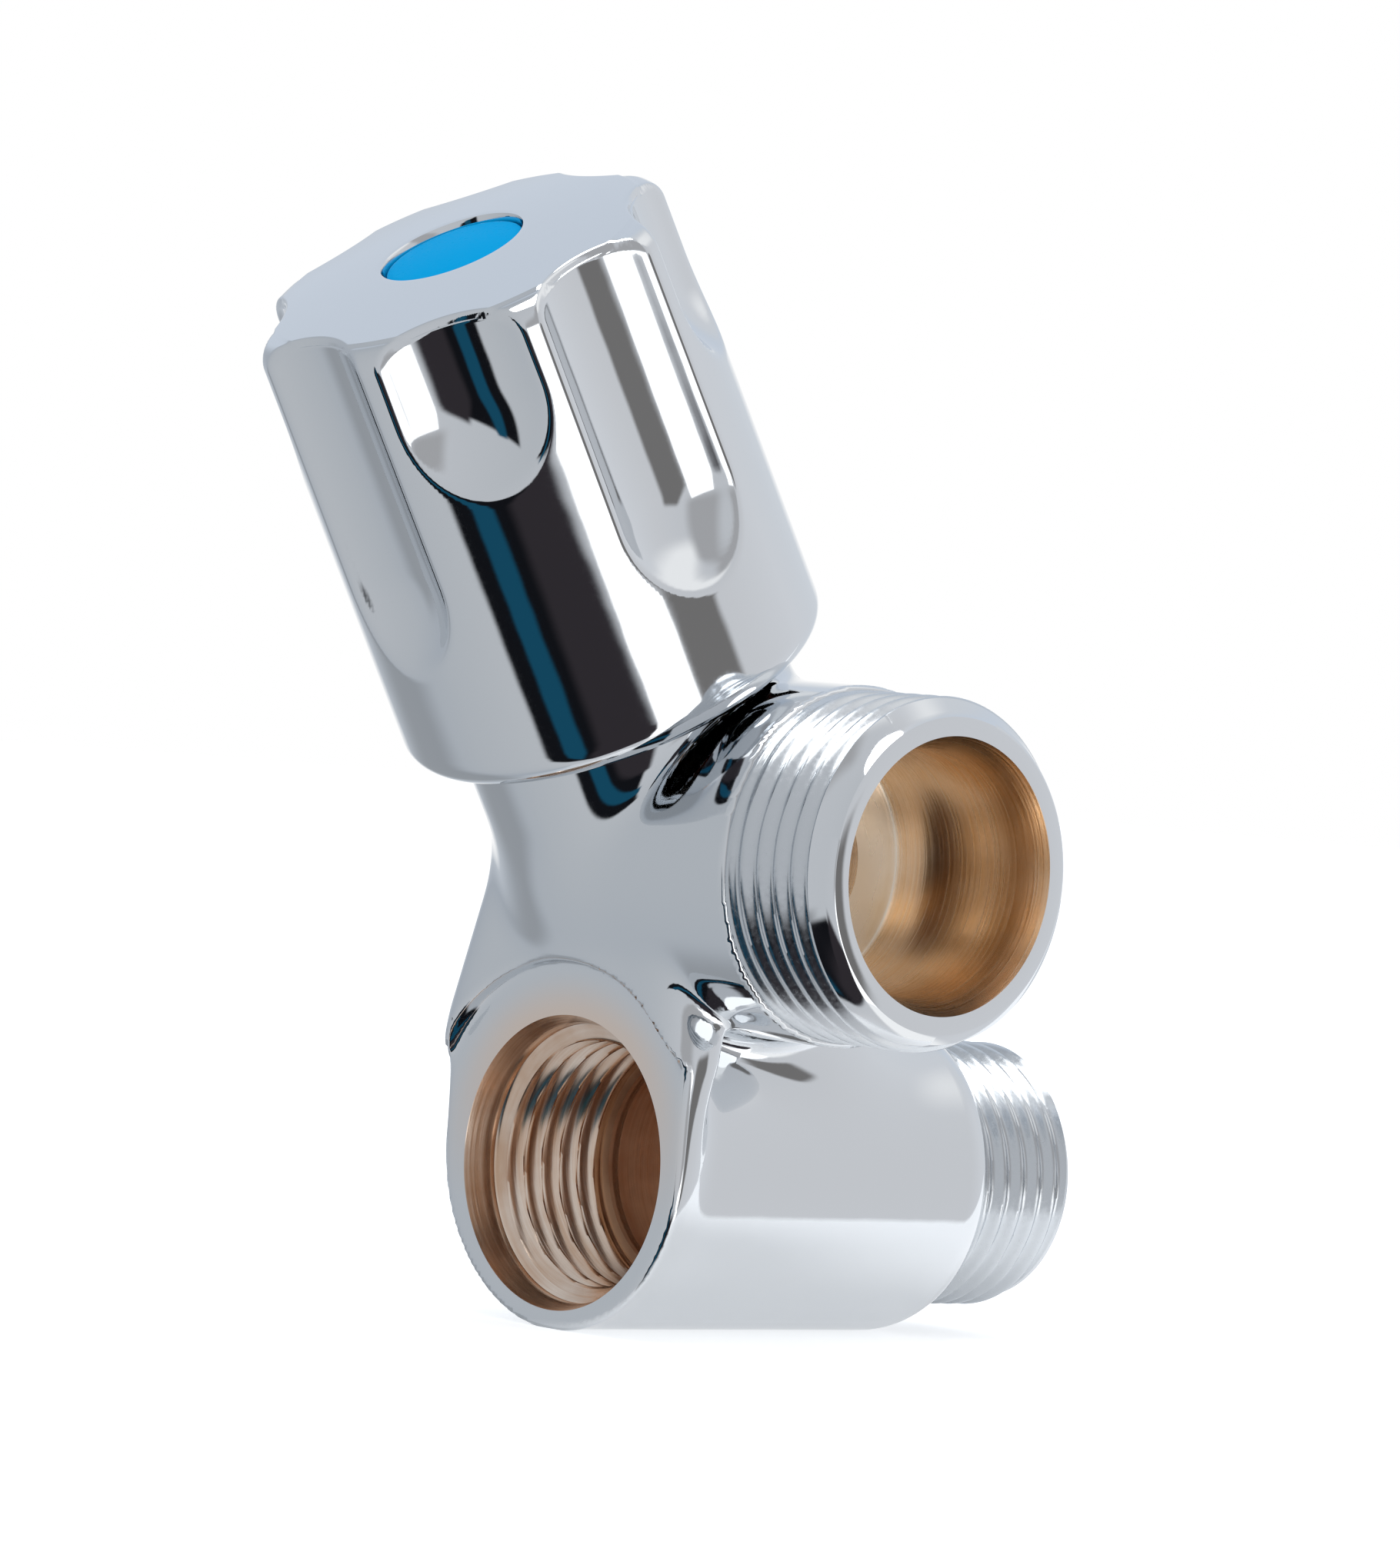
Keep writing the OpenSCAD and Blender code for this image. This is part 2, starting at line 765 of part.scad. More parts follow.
module handwheel_screw() {
  slot_w = screw_head_d / 7;
  slot_depth = screw_head_h / 2;
  shank_s = spindle_top_s - wheel_screw_len + face_gap;
  color(steel)
    difference() {
      union() {
        on_spindle(head_s)
          rod(screw_head_d, screw_head_h);
        on_spindle(shank_s)
          rod(wheel_screw_d, head_s - shank_s + slot_depth / 2);
      }
      on_spindle(head_s + screw_head_h - slot_depth)
        translate([-screw_head_d, -slot_w / 2, 0])
          cube([2 * screw_head_d, slot_w, slot_depth + 1]);
    }
}

// Domed disc with a snap ring that grips the bore above the screw head
module index_cap() {
  snap_d = screw_head_d + 2 - 2 * seat_gap;
  color(index_blue)
    union() {
      on_spindle(cap_s)
        rotate_extrude()
          intersection() {
            square([cap_d / 2, cap_t]);
            translate([0, cap_t - dome_r / 2])
              circle(r = dome_r / 2, $fn = 360);
          }
      on_spindle(cap_s - snap_len)
        ring(snap_d, snap_d - 1.6, snap_len);
    }
}

valve_body();
bonnet();
bonnet_gasket();
spindle();
spindle_clip();
slide_washer();
spindle_o_ring_lower();
spindle_o_ring_upper();
plunger();
plunger_o_ring();
seat_washer();
washer_plate();
washer_nut();
handwheel();
lock_washer();
handwheel_screw();
index_cap();
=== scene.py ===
"""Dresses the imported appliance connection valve: polished casting, cut threads, fluted handwheel, index cap."""

import functools
import json
import math

import bpy
import numpy as np
from bpy.props import FloatProperty, IntProperty, PointerProperty, StringProperty
from mathutils import Matrix, Vector


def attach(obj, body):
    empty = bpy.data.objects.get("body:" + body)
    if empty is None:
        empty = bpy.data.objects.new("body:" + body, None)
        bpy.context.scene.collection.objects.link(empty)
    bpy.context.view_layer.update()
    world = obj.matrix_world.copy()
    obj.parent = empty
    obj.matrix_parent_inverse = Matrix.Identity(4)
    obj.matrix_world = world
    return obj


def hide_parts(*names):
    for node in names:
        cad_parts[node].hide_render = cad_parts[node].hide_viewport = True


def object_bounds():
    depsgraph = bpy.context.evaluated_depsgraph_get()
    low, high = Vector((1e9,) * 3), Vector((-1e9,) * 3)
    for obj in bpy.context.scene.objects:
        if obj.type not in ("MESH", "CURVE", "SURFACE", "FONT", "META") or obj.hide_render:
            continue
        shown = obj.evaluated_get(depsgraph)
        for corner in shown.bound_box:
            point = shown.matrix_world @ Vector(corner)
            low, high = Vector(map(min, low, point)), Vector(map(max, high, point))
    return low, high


bl_info = {
    "name": "Appliance Connection Valve",
    "version": (1, 0, 0),
    "blender": (4, 5, 0),
    "location": "3D View > Sidebar > Valve",
    "description": "Builds the casting, threads, handwheel and finishes of an appliance connection valve",
    "category": "Add Mesh",
}

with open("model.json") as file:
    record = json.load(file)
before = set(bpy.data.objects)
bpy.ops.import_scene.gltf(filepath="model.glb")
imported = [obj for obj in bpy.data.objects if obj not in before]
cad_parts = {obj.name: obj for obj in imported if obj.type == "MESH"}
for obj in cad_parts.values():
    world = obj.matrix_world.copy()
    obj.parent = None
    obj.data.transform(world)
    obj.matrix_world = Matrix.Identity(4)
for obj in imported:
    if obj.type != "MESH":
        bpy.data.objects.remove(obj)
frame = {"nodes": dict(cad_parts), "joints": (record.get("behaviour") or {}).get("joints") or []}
CAD_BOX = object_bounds()
MM = 0.001
FULL_TURN = 2 * math.pi

# The spindle's foot and direction come from the handwheel's own joint
WHEEL_JOINT = next(j for j in frame["joints"] if j["name"] == "handwheel_turn")
SPINDLE_FOOT = np.array(WHEEL_JOINT["pos_m"]) / MM
SPINDLE_UP = np.array(WHEEL_JOINT["axis"]) / np.linalg.norm(WHEEL_JOINT["axis"])
SPINDLE_LEAN = math.acos(SPINDLE_UP[2])


def length(name, description, millimetres, least=0.01, most=200.0):
    """A length property, given in millimetres and kept in metres."""
    return FloatProperty(
        name=name,
        description=description,
        default=millimetres * MM,
        min=least * MM,
        max=most * MM,
        unit="LENGTH",
        subtype="DISTANCE",
        precision=5,
    )


def finish_colour(name, description, code):
    """A colour property, kept as an sRGB hex code."""
    return StringProperty(name=name, description=description, default=code, maxlen=7)


class ValveCastingSizes(bpy.types.PropertyGroup):
    tube_diameter: length("Tube diameter", "Outer diameter of the through tube", 25.1)
    face_back: length("Tube length", "From the tail shoulder to the face of the front port", 35.5)
    shoulder_round: length("Shoulder round", "Radius of the rounded tail shoulder", 4.2)
    neck_diameter: length("Neck diameter", "Outer diameter of the neck under the handwheel", 25.7)
    neck_top: length("Neck top", "Top of the neck, along the spindle from the outlet axis", 15.4)
    taper_start: length("Taper start", "How far below the outlet axis the neck begins to taper", 12.0)
    taper_foot: length("Taper foot", "How far below the outlet axis the taper ends", 24.4)
    boss_diameter: length("Boss diameter", "Outer diameter of the plain outlet boss", 27.1)
    boss_end: length("Boss end", "Where the boss ends and the outlet thread starts", 19.6)
    collar_diameter: length("Collar diameter", "Outer diameter of the collar round the front port", 26.4)
    collar_rise: length("Collar rise", "How far the collar's centre sits above the tube axis", 0.85)
    collar_side: length("Collar side shift", "How far the collar's centre sits beside the tube axis", 0.4)
    column_draft: FloatProperty(
        name="Column draft", description="How fast the column widens behind the face", default=0.13, min=0, max=0.4
    )
    column_proud: length("Column proud", "How far the raw casting stands in front of the face, at the tube axis", 2.7)
    column_corner: length("Column corner", "Softness of the column's front corners", 4.5)
    column_blend: length("Column blend", "Softness of the blend between column, neck and tube", 3.0)
    facing_radius: length("Facing radius", "Radius of the cut that faces the front port", 15.26)
    neck_blend: length("Neck blend", "Softness of the blend between neck and tube", 5.0)
    boss_blend: length("Boss blend", "Softness of the blend between boss and neck", 2.2)
    mesh_step: length("Mesh step", "Spacing of the casting's mesh", 0.45, least=0.2)


class ValveThreadSizes(bpy.types.PropertyGroup):
    pitch: length("Pitch", "Pitch of both pipe threads, 14 threads to the inch", 1.814)
    depth: length("Depth", "Depth of the outside threads, shallow under their plating", 0.72)
    port_depth: length("Port depth", "Depth of the bare inside thread", 1.1)
    outlet_diameter: length("Outlet thread", "Outside diameter of the hose thread", 26.44)
    tail_diameter: length("Tail thread", "Outside diameter of the tail thread", 20.955)
    port_diameter: length("Port thread", "Core diameter of the front port's thread", 18.63)
    port_mouth: length("Port mouth", "Diameter of the front port's chamfered mouth", 22.32)
    sides: IntProperty(name="Sides", description="Steps round each turned piece", default=256, min=48, max=512)


class ValveHandwheelSizes(bpy.types.PropertyGroup):
    foot_diameter: length("Foot diameter", "Outer diameter of the handwheel at its foot", 33.2)
    top_diameter: length("Top diameter", "Outer diameter of the handwheel at its top", 32.7)
    bottom: length("Bottom", "Bottom of the handwheel, along the spindle from the outlet axis", 14.3)
    height: length("Height", "Height of the handwheel", 37.2)
    dome: length("Dome radius", "Radius of the domed top", 95.0)
    flutes: IntProperty(name="Flutes", description="Number of flutes, long and short in turn", default=8, min=4, max=16)
    flute_radius: length("Flute radius", "Radius of a flute's hollow", 9.2)
    flute_depth: length("Flute depth", "Depth of a flute at its middle", 2.7)
    long_flute: length("Long flute", "From the top to the lower end of a long flute", 27.0)
    short_flute: length("Short flute", "From the top to the lower end of a short flute", 14.0)
    flute_turn: FloatProperty(
        name="Flute turn",
        description="Turn of the first long flute from the outlet",
        default=math.radians(-2.7),
        subtype="ANGLE",
    )
    edge_round: length("Edge round", "Softness of the edges beside the flutes", 0.8)
    cap_diameter: length("Cap diameter", "Diameter of the index cap", 10.7)
    cap_sink: length("Cap sink", "How far the index cap lies below the top", 0.35)


class ValveFinishes(bpy.types.PropertyGroup):
    chrome: finish_colour("Chrome", "Polished chrome plating", "#E2E5E8")
    thread_chrome: finish_colour("Thread chrome", "Duller plating over the cut threads", "#D3D7DB")
    warm_chrome: finish_colour("Thin plating", "Thin plating round the front mouth", "#F2DFD0")
    outlet_brass: finish_colour("Outlet brass", "Bare turned brass in the hose outlet", "#FAE9D6")
    port_brass: finish_colour("Port brass", "Bare cut brass in the front port", "#F4E2D2")
    bore_brass: finish_colour("Bore brass", "Rough bored brass deep in the body", "#F3D3B4")
    bar_brass: finish_colour("Bar brass", "Turned brass parts of the headwork", "#C9A26B")
    index_blue: finish_colour("Index blue", "Moulded plastic of the index cap", "#00A4E3")
    rubber: finish_colour("Rubber", "Seals and the seat washer", "#1B1B1D")
    steel: finish_colour("Steel", "Screw, clip and washers", "#B9BCBF")
    fibre: finish_colour("Fibre", "Pressed fibre gasket", "#8C3A28")
    slide_plastic: finish_colour("Slide plastic", "Slide washer", "#E8E6DC")


def in_mm(value):
    return value / MM


def linear(code):
    """An sRGB hex code as linear red, green, blue and full alpha."""
    parts = [int(code[i : i + 2], 16) / 255 for i in (1, 3, 5)]
    return tuple(p / 12.92 if p <= 0.04045 else ((p + 0.055) / 1.055) ** 2.4 for p in parts) + (1.0,)


def connect(tree, node, inputs):
    """Sets or links a node's inputs, by their names or numbers."""
    for key, value in inputs.items() if isinstance(inputs, dict) else enumerate(inputs):
        if isinstance(value, bpy.types.NodeSocket):
            tree.links.new(value, node.inputs[key])
        else:
            node.inputs[key].default_value = value


def add(tree, kind, inputs=(), out=0, **settings):
    """Adds one node with its settings, values and links, and returns one of its outputs."""
    node = tree.nodes.new(kind)
    for key, value in settings.items():
        setattr(node, key, value)
    connect(tree, node, inputs)
    return node.outputs[out] if len(node.outputs) else node


def calc(tree, operation, *values):
    return add(tree, "ShaderNodeMath", values, operation=operation)


def split(tree, place):
    """The X, Y and Z outputs of a place."""
    return add(tree, "ShaderNodeSeparateXYZ", (place,)).node.outputs


def off_axis(tree, across, up):
    """Distance from an axis, from the two parts of a place that lie square to it."""
    square = calc(tree, "MULTIPLY", across, across)
    return calc(tree, "SQRT", calc(tree, "MULTIPLY_ADD", up, up, square))


def ranged(tree, value, low, high, to_low=0.0, to_high=1.0, curve="LINEAR"):
    """Maps low to high onto another range, and holds the value at both ends."""
    inputs = {"Value": value, "From Min": low, "From Max": high, "To Min": to_low, "To Max": to_high}
    return add(tree, "ShaderNodeMapRange", inputs, interpolation_type=curve)


def mixed(tree, factor, first, second):
    return add(tree, "ShaderNodeMix", {"Factor": factor, 6: first, 7: second}, out=2, data_type="RGBA")


def noise(tree, place, scale, detail, rough):
    """Noise whose scale is in marks per metre."""
    inputs = {"Vector": place, "Scale": scale, "Detail": detail, "Roughness": rough}
    return add(tree, "ShaderNodeTexNoise", inputs)


def bumped(tree, height, strength, distance, **more):
    return add(tree, "ShaderNodeBump", {"Strength": strength, "Distance": distance, "Height": height, **more})


# ---- meshes ----


def spindle_place(station=0.0):
    """Places a piece made about Z on the spindle axis, at a station in millimetres above the outlet axis."""
    foot = Vector(SPINDLE_FOOT * MM)
    return Matrix.Translation(foot) @ Matrix.Rotation(SPINDLE_LEAN, 4, "X") @ Matrix.Translation((0, 0, station * MM))


def outlet_place():
    """Z of the piece runs along +X, and its origin lies on the spindle axis."""
    return Matrix.Translation(Vector(SPINDLE_FOOT * MM)) @ Matrix.Rotation(math.pi / 2, 4, "Y")


def tube_place():
    """Z of the piece runs along +Y, with the origin at the tail shoulder."""
    return Matrix.Rotation(-math.pi / 2, 4, "X")


def corner(centre, radius, first, last, count):
    """Outline points on an arc, angles in degrees from the radius axis."""
    angles = [math.radians(first + (last - first) * i / count) for i in range(count + 1)]
    return [(centre[0] + radius * math.cos(a), centre[1] + radius * math.sin(a)) for a in angles]


def turned_mesh(name, outline, sides, field="cut"):
    """A closed turned solid.

    The outline runs anticlockwise in radius and height, in millimetres, and a radius of 0 is a pole. A third number
    in an outline point is its weight in the named field.
    """
    rows, points, weights = [], [], []
    for radius, height, *weight in outline:
        count = sides if radius > 1e-6 else 1
        rows.append([len(points) + i % count for i in range(sides)])
        for i in range(count):
            a = FULL_TURN * i / sides
            points.append((radius * math.cos(a) * MM, radius * math.sin(a) * MM, height * MM))
        weights += (weight or [0.0]) * count
    closed = outline[0][0] > 1e-6 or outline[-1][0] > 1e-6
    faces = []
    for r in range(len(rows) if closed else len(rows) - 1):
        low, high = rows[r], rows[(r + 1) % len(rows)]
        for i in range(sides):
            j = (i + 1) % sides
            face = list(dict.fromkeys((low[i], low[j], high[j], high[i])))
            if len(face) > 2:
                faces.append(face)
    mesh = bpy.data.meshes.new(name)
    mesh.from_pydata(points, [], faces)
    mesh.attributes.new(field, "FLOAT", "POINT").data.foreach_set("value", weights)
    mesh.shade_smooth()
    mesh.update()
    return mesh


def new_object(name, mesh):
    obj = bpy.data.objects.new(name, mesh)
    bpy.context.scene.collection.objects.link(obj)
    return obj


def made_plain(obj, place=None):
    """Takes the evaluated mesh, drops the modifiers, and puts the place into the mesh."""
    depsgraph = bpy.context.evaluated_depsgraph_get()
    mesh = bpy.data.meshes.new_from_object(obj.evaluated_get(depsgraph), depsgraph=depsgraph)
    obj.modifiers.clear()
    old = obj.data
    obj.data = mesh
    bpy.data.meshes.remove(old)
    mesh.name = obj.name
    if place is not None:
        mesh.transform(place)
    mesh.update()


def node_modifier(obj, tree, values):
    """Adds a Geometry Nodes modifier and sets its named inputs by their identifiers."""
    modifier = obj.modifiers.new(tree.name, "NODES")
    modifier.node_group = tree
    for item in tree.interface.items_tree:
        if item.item_type == "SOCKET" and item.in_out == "INPUT" and item.name in values:
            modifier[item.identifier] = values[item.name]


def start_tree(name, numbers):
    """A Geometry Nodes tree for turned pieces: geometry, the named numbers and a material go in."""
    tree = bpy.data.node_groups.new(name, "GeometryNodeTree")
    tree.is_modifier = True
    tree.interface.new_socket("Geometry", in_out="INPUT", socket_type="NodeSocketGeometry")
    for label in numbers:
        tree.interface.new_socket(label, in_out="INPUT", socket_type="NodeSocketFloat")
    tree.interface.new_socket("Material", in_out="INPUT", socket_type="NodeSocketMaterial")
    tree.interface.new_socket("Geometry", in_out="OUTPUT", socket_type="NodeSocketGeometry")
    given = tree.nodes.new("NodeGroupInput").outputs
    return tree, given, split(tree, add(tree, "GeometryNodeInputPosition"))


def end_tree(tree, given, parts, growth, height):
    """Moves each point out from the axis by its growth and to its height, and gives the result its material."""
    place = add(tree, "ShaderNodeCombineXYZ", (
        calc(tree, "MULTIPLY", parts["X"], growth),
        calc(tree, "MULTIPLY", parts["Y"], growth),
        height,
    ))
    moved = add(tree, "GeometryNodeSetPosition", {"Geometry": given["Geometry"], "Position": place})
    real = add(tree, "GeometryNodeRealizeInstances", (moved,))
    painted = add(tree, "GeometryNodeSetMaterial", {"Geometry": real, "Material": given["Material"]})
    add(tree, "NodeGroupOutput", (painted,))
    return tree


def sharpen(mesh, degrees):
    mesh.set_sharp_from_angle(angle=math.radians(degrees))


# ---- the casting's form, as a distance field in millimetres ----


def smooth_least(a, b, k):
    h = np.maximum(k - np.abs(a - b), 0) / k
    return np.minimum(a, b) - h * h * h * k / 6


def smooth_most(a, b, k):
    return -smooth_least(-a, -b, k)


def round_cone(aside, z, low, high, low_r, high_r):
    """Distance to a flat round-ended shape, seen along the tube: one circle blends straight into another."""
    lean = (low_r - high_r) / (high - low)
    flat = np.sqrt(1 - lean * lean)
    along = -lean * aside + flat * (z - low)
    side = flat * aside + lean * (z - low) - low_r
    upper = np.where(along > flat * (high - low), np.hypot(aside, z - high) - high_r, side)
    return np.where(along < 0, np.hypot(aside, z - low) - low_r, upper)


def casting_distance(points, s):
    """Distance to the casting's outer skin: tube, collar, leaning neck and outlet boss, blended and faced."""
    x, y, z = points[:, 0], points[:, 1], points[:, 2]
    tube_r, neck_r, boss_r = in_mm(s.tube_diameter) / 2, in_mm(s.neck_diameter) / 2, in_mm(s.boss_diameter) / 2
    face_y = -in_mm(s.face_back)
    round_r = in_mm(s.shoulder_round)

    # Through tube, rounded at the tail shoulder
    around = np.hypot(x, z)
    side, end = around - (tube_r - round_r), y + round_r
    tube = np.minimum(np.maximum(side, end), 0) + np.hypot(np.maximum(side, 0), np.maximum(end, 0)) - round_r

    # Leaning neck with its tapered foot
    rel = points - SPINDLE_FOOT
    station = rel @ SPINDLE_UP
    off_axis = np.sqrt(np.maximum((rel * rel).sum(1) - station**2, 0))
    taper, foot = -in_mm(s.taper_start), -in_mm(s.taper_foot)
    narrow = np.clip((taper - station) / (taper - foot), 0, 1.2)
    foot_r, taper_slope = 8.5, 0.96
    neck = (off_axis - neck_r + (neck_r - foot_r) * narrow) * taper_slope
    neck = smooth_most(neck, foot - station, 2)
    body = smooth_least(tube, neck, in_mm(s.neck_blend))

    # Front column: the collar round the port runs up into the neck, proud of the face as cast
    waist_z, top_z, waist_gain, top_loss = 8.5, 24.0, 0.55, 2.8
    collar_r = in_mm(s.collar_diameter) / 2 + s.column_draft * np.clip(y - face_y, -3, 3)
    aside = np.abs(x + in_mm(s.collar_side))
    collar = round_cone(aside, z, in_mm(s.collar_rise), waist_z, collar_r, collar_r + waist_gain)
    column = np.minimum(collar, round_cone(aside, z, waist_z, top_z, collar_r + waist_gain, collar_r - top_loss))
    # Its front leans back a little, and its back leans more; the last factors keep both distances true
    front = (face_y - in_mm(s.column_proud) + 0.1 * z - y) * 0.995
    column = smooth_most(column, front, in_mm(s.column_corner))
    back = (y + 33.2 - 0.19 * (z - 2)) * 0.982
    column = smooth_most(column, back, 3.0)
    body = smooth_least(body, column, in_mm(s.column_blend))

    # Outlet boss, round at the back
    boss_off = np.hypot(rel[:, 1], rel[:, 2])
    boss = np.hypot(boss_off, np.minimum(x, 0)) - boss_r
    boss = smooth_most(boss, x - in_mm(s.boss_end), 0.5)
    body = smooth_least(body, boss, in_mm(s.boss_blend))

    # The port is faced with a round cutter, and the neck's top is cut square
    facing = smooth_most(y - face_y, around - in_mm(s.facing_radius), 0.9)
    body = smooth_most(body, -facing, 0.9)
    return smooth_most(body, station - in_mm(s.neck_top), 0.6)


def casting_slope(points, s, reach=0.01):
    """Unit normals of the distance field."""
    slope = np.empty_like(points)
    for axis in range(3):
        step = np.zeros(3)
        step[axis] = reach
        slope[:, axis] = casting_distance(points + step, s) - casting_distance(points - step, s)
    return slope / (2 * reach)


def skin_mesh(name, distance, slope, low, high, step):
    """A quad skin on a distance field's zero: surface nets, then evened out and pulled onto the exact surface."""
    axes = [np.arange(low[i], high[i] + step, step) for i in range(3)]
    shape = tuple(len(a) for a in axes)
    grid = np.stack(np.meshgrid(*axes, indexing="ij"), -1).reshape(-1, 3)
    field = np.concatenate([distance(part) for part in np.array_split(grid, 24)]).reshape(shape)

    def edge_ends(axis, margin):
        """The field at both ends of the grid's edges along an axis, without a margin at the other sides."""
        picks = [[slice(margin, n - margin) for n in shape] for _ in range(2)]
        picks[0][axis], picks[1][axis] = slice(0, shape[axis] - 1), slice(1, shape[axis])
        return [field[tuple(pick)] for pick in picks]

    cells = tuple(n - 1 for n in shape)
    total, count = np.zeros(cells + (3,)), np.zeros(cells)
    for axis in range(3):
        a, b = edge_ends(axis, 0)
        crossing = (a < 0) != (b < 0)
        share = np.where(crossing, a / np.where(crossing, a - b, 1), 0)
        others = [i for i in range(3) if i != axis]
        for da in (0, 1):
            for db in (0, 1):
                pick = [slice(None)] * 3
                pick[others[0]] = slice(da, da + cells[others[0]])
                pick[others[1]] = slice(db, db + cells[others[1]])
                hit = crossing[tuple(pick)]
                count += hit
                total[..., axis] += np.where(hit, share[tuple(pick)], 0)
                total[..., others[0]] += hit * da
                total[..., others[1]] += hit * db
    used = count > 0
    number = np.full(cells, -1)
    number[used] = np.arange(used.sum())
    corner_at = np.stack(np.nonzero(used), -1)
    points = (corner_at + total[used] / count[used][:, None]) * step + np.array(low)
    quads = []
    for axis in range(3):
        others = [i for i in range(3) if i != axis]
        a, b = (end < 0 for end in edge_ends(axis, 1))
        for rising in (True, False):
            at = np.stack(np.nonzero(a & ~b if rising else ~a & b), -1)
            at[:, others[0]] += 1
            at[:, others[1]] += 1
            ring = []
            for da, db in ((0, 0), (1, 0), (1, 1), (0, 1)):
                cell = at.copy()
                cell[:, others[0]] -= 1 - da
                cell[:, others[1]] -= 1 - db
                ring.append(number[cell[:, 0], cell[:, 1], cell[:, 2]])
            ring = np.stack(ring, -1)
            quads.append(ring if rising == (axis != 1) else ring[:, ::-1])
    quads = np.concatenate(quads)
    edges = np.concatenate([quads[:, [0, 1]], quads[:, [1, 2]], quads[:, [2, 3]], quads[:, [3, 0]]])
    rounds = 5
    for turn in range(rounds):
        for _ in range(2):
            normal = slope(points)
            points -= normal * (distance(points) / np.maximum((normal**2).sum(1), 0.05))[:, None]
        if turn == rounds - 1:
            break
        middle, share = np.zeros_like(points), np.zeros(len(points))
        np.add.at(middle, edges[:, 0], points[edges[:, 1]])
        np.add.at(middle, edges[:, 1], points[edges[:, 0]])
        np.add.at(share, edges.ravel(), 1)
        shift = middle / share[:, None] - points
        normal = slope(points)
        normal /= np.linalg.norm(normal, axis=1)[:, None]
        shift -= normal * (shift * normal).sum(1)[:, None]
        points += shift * 0.6
    mesh = bpy.data.meshes.new(name)
    mesh.from_pydata((points * MM).tolist(), [], quads.tolist())
    mesh.update()
    return mesh


def cut_away(target, cutters):
    """Cuts turned tools out of a piece with exact booleans, and removes the tools."""
    for cutter in cutters:
        modifier = target.modifiers.new(cutter.name, "BOOLEAN")
        modifier.operation = "DIFFERENCE"
        modifier.solver = "MANIFOLD"
        modifier.object = cutter
    made_plain(target)
    for cutter in cutters:
        mesh = cutter.data
        bpy.data.objects.remove(cutter)
        bpy.data.meshes.remove(mesh)


def cutter(name, outline, sides, place):
    """A turned tool for a boolean, whose cut faces take the second material."""
    mesh = turned_mesh(name, outline, sides)
    mesh.transform(place)
    for polygon in mesh.polygons:
        polygon.material_index = 1
    for _ in range(2):
        mesh.materials.append(None)
    return new_object(name, mesh)


# ---- finishes ----


def bare_material(name):
    """A new material with an empty tree."""
    material = bpy.data.materials.new(name)
    material.use_nodes = True
    material.node_tree.nodes.clear()
    return material, material.node_tree


def start_material(name):
    """A new material, its tree, its shader and the piece's own coordinates."""
    material, tree = bare_material(name)
    shader = add(tree, "ShaderNodeBsdfPrincipled").node
    add(tree, "ShaderNodeOutputMaterial", {"Surface": shader.outputs[0]})
    return material, tree, shader, add(tree, "ShaderNodeTexCoord", out="Object")


def ray_paths(tree):
    """The kinds of ray, and 1 for the rays that metal or glass sends on."""
    paths = add(tree, "ShaderNodeLightPath").node.outputs
    return paths, calc(tree, "MAXIMUM", paths["Is Glossy Ray"], paths["Is Transmission Ray"])


def polished_chrome(name, code, warm_code):
    """Chrome plating over a buffed brass casting: a mirror with faint buffing waves."""
    material, tree, shader, place = start_material(name)
    # Plating is thinner on the face round the front mouth, so the brass under it warms the colour
    parts = split(tree, place)
    face_y = -bpy.context.scene.valve_casting.face_back
    near_mouth = ranged(tree, off_axis(tree, parts["X"], parts["Z"]), 0.0148, 0.0108, curve="SMOOTHSTEP")
    on_face = ranged(tree, parts["Y"], face_y + 0.0006, face_y + 0.0002)
    upward = ranged(tree, parts["Z"], -0.004, 0.010)
    thin = calc(tree, "MULTIPLY", calc(tree, "MULTIPLY", near_mouth, on_face), upward)
    # Buffing waves about 4 mm apart and a fine haze of 0.3 mm marks
    waves = noise(tree, place, 250.0, 1.0, 0.4)
    marks = noise(tree, place, 3300.0, 2.0, 0.6)
    connect(tree, shader, {
        "Base Color": mixed(tree, thin, linear(code), linear(warm_code)),
        "Roughness": ranged(tree, marks, 0.35, 0.75, 0.035, 0.075),
        "Normal": bumped(tree, marks, 0.01, 0.00002, Normal=bumped(tree, waves, 0.06, 0.0003)),
        "Metallic": 1.0,
    })
    return material


def turned_brass(name, code, dark_code, axis, spacing, roughness):
    """Bare brass left by a turning tool: fine rings round the bore and darker, tarnished patches."""
    material, tree, shader, place = start_material(name)
    # Rings: noise that changes fast along the axis and slowly round it
    scale = [60.0, 60.0, 60.0]
    scale["XYZ".index(axis)] = 1.0 / (spacing * MM)
    stretched = add(tree, "ShaderNodeMapping", {"Vector": place, "Scale": tuple(scale)})
    rings = noise(tree, stretched, 1.0, 3.0, 0.65)
    patches = noise(tree, place, 180.0, 3.0, 0.55)
    shade = ranged(tree, calc(tree, "ADD", rings, patches), 0.75, 1.25)
    colour = mixed(tree, shade, linear(dark_code), linear(code))
    if axis == "X":
        # The flat floor of the outlet's bore is faced bright
        floor = ranged(tree, split(tree, place)["X"], 0.0147, 0.0144)
        colour = mixed(tree, floor, colour, linear("#FFF8EE"))
    connect(tree, shader, {
        "Base Color": colour,
        "Roughness": ranged(tree, rings, 0.3, 0.7, roughness * 0.8, roughness * 1.25),
        "Normal": bumped(tree, rings, 0.5, 0.00003),
        "Metallic": 1.0,
    })
    return material


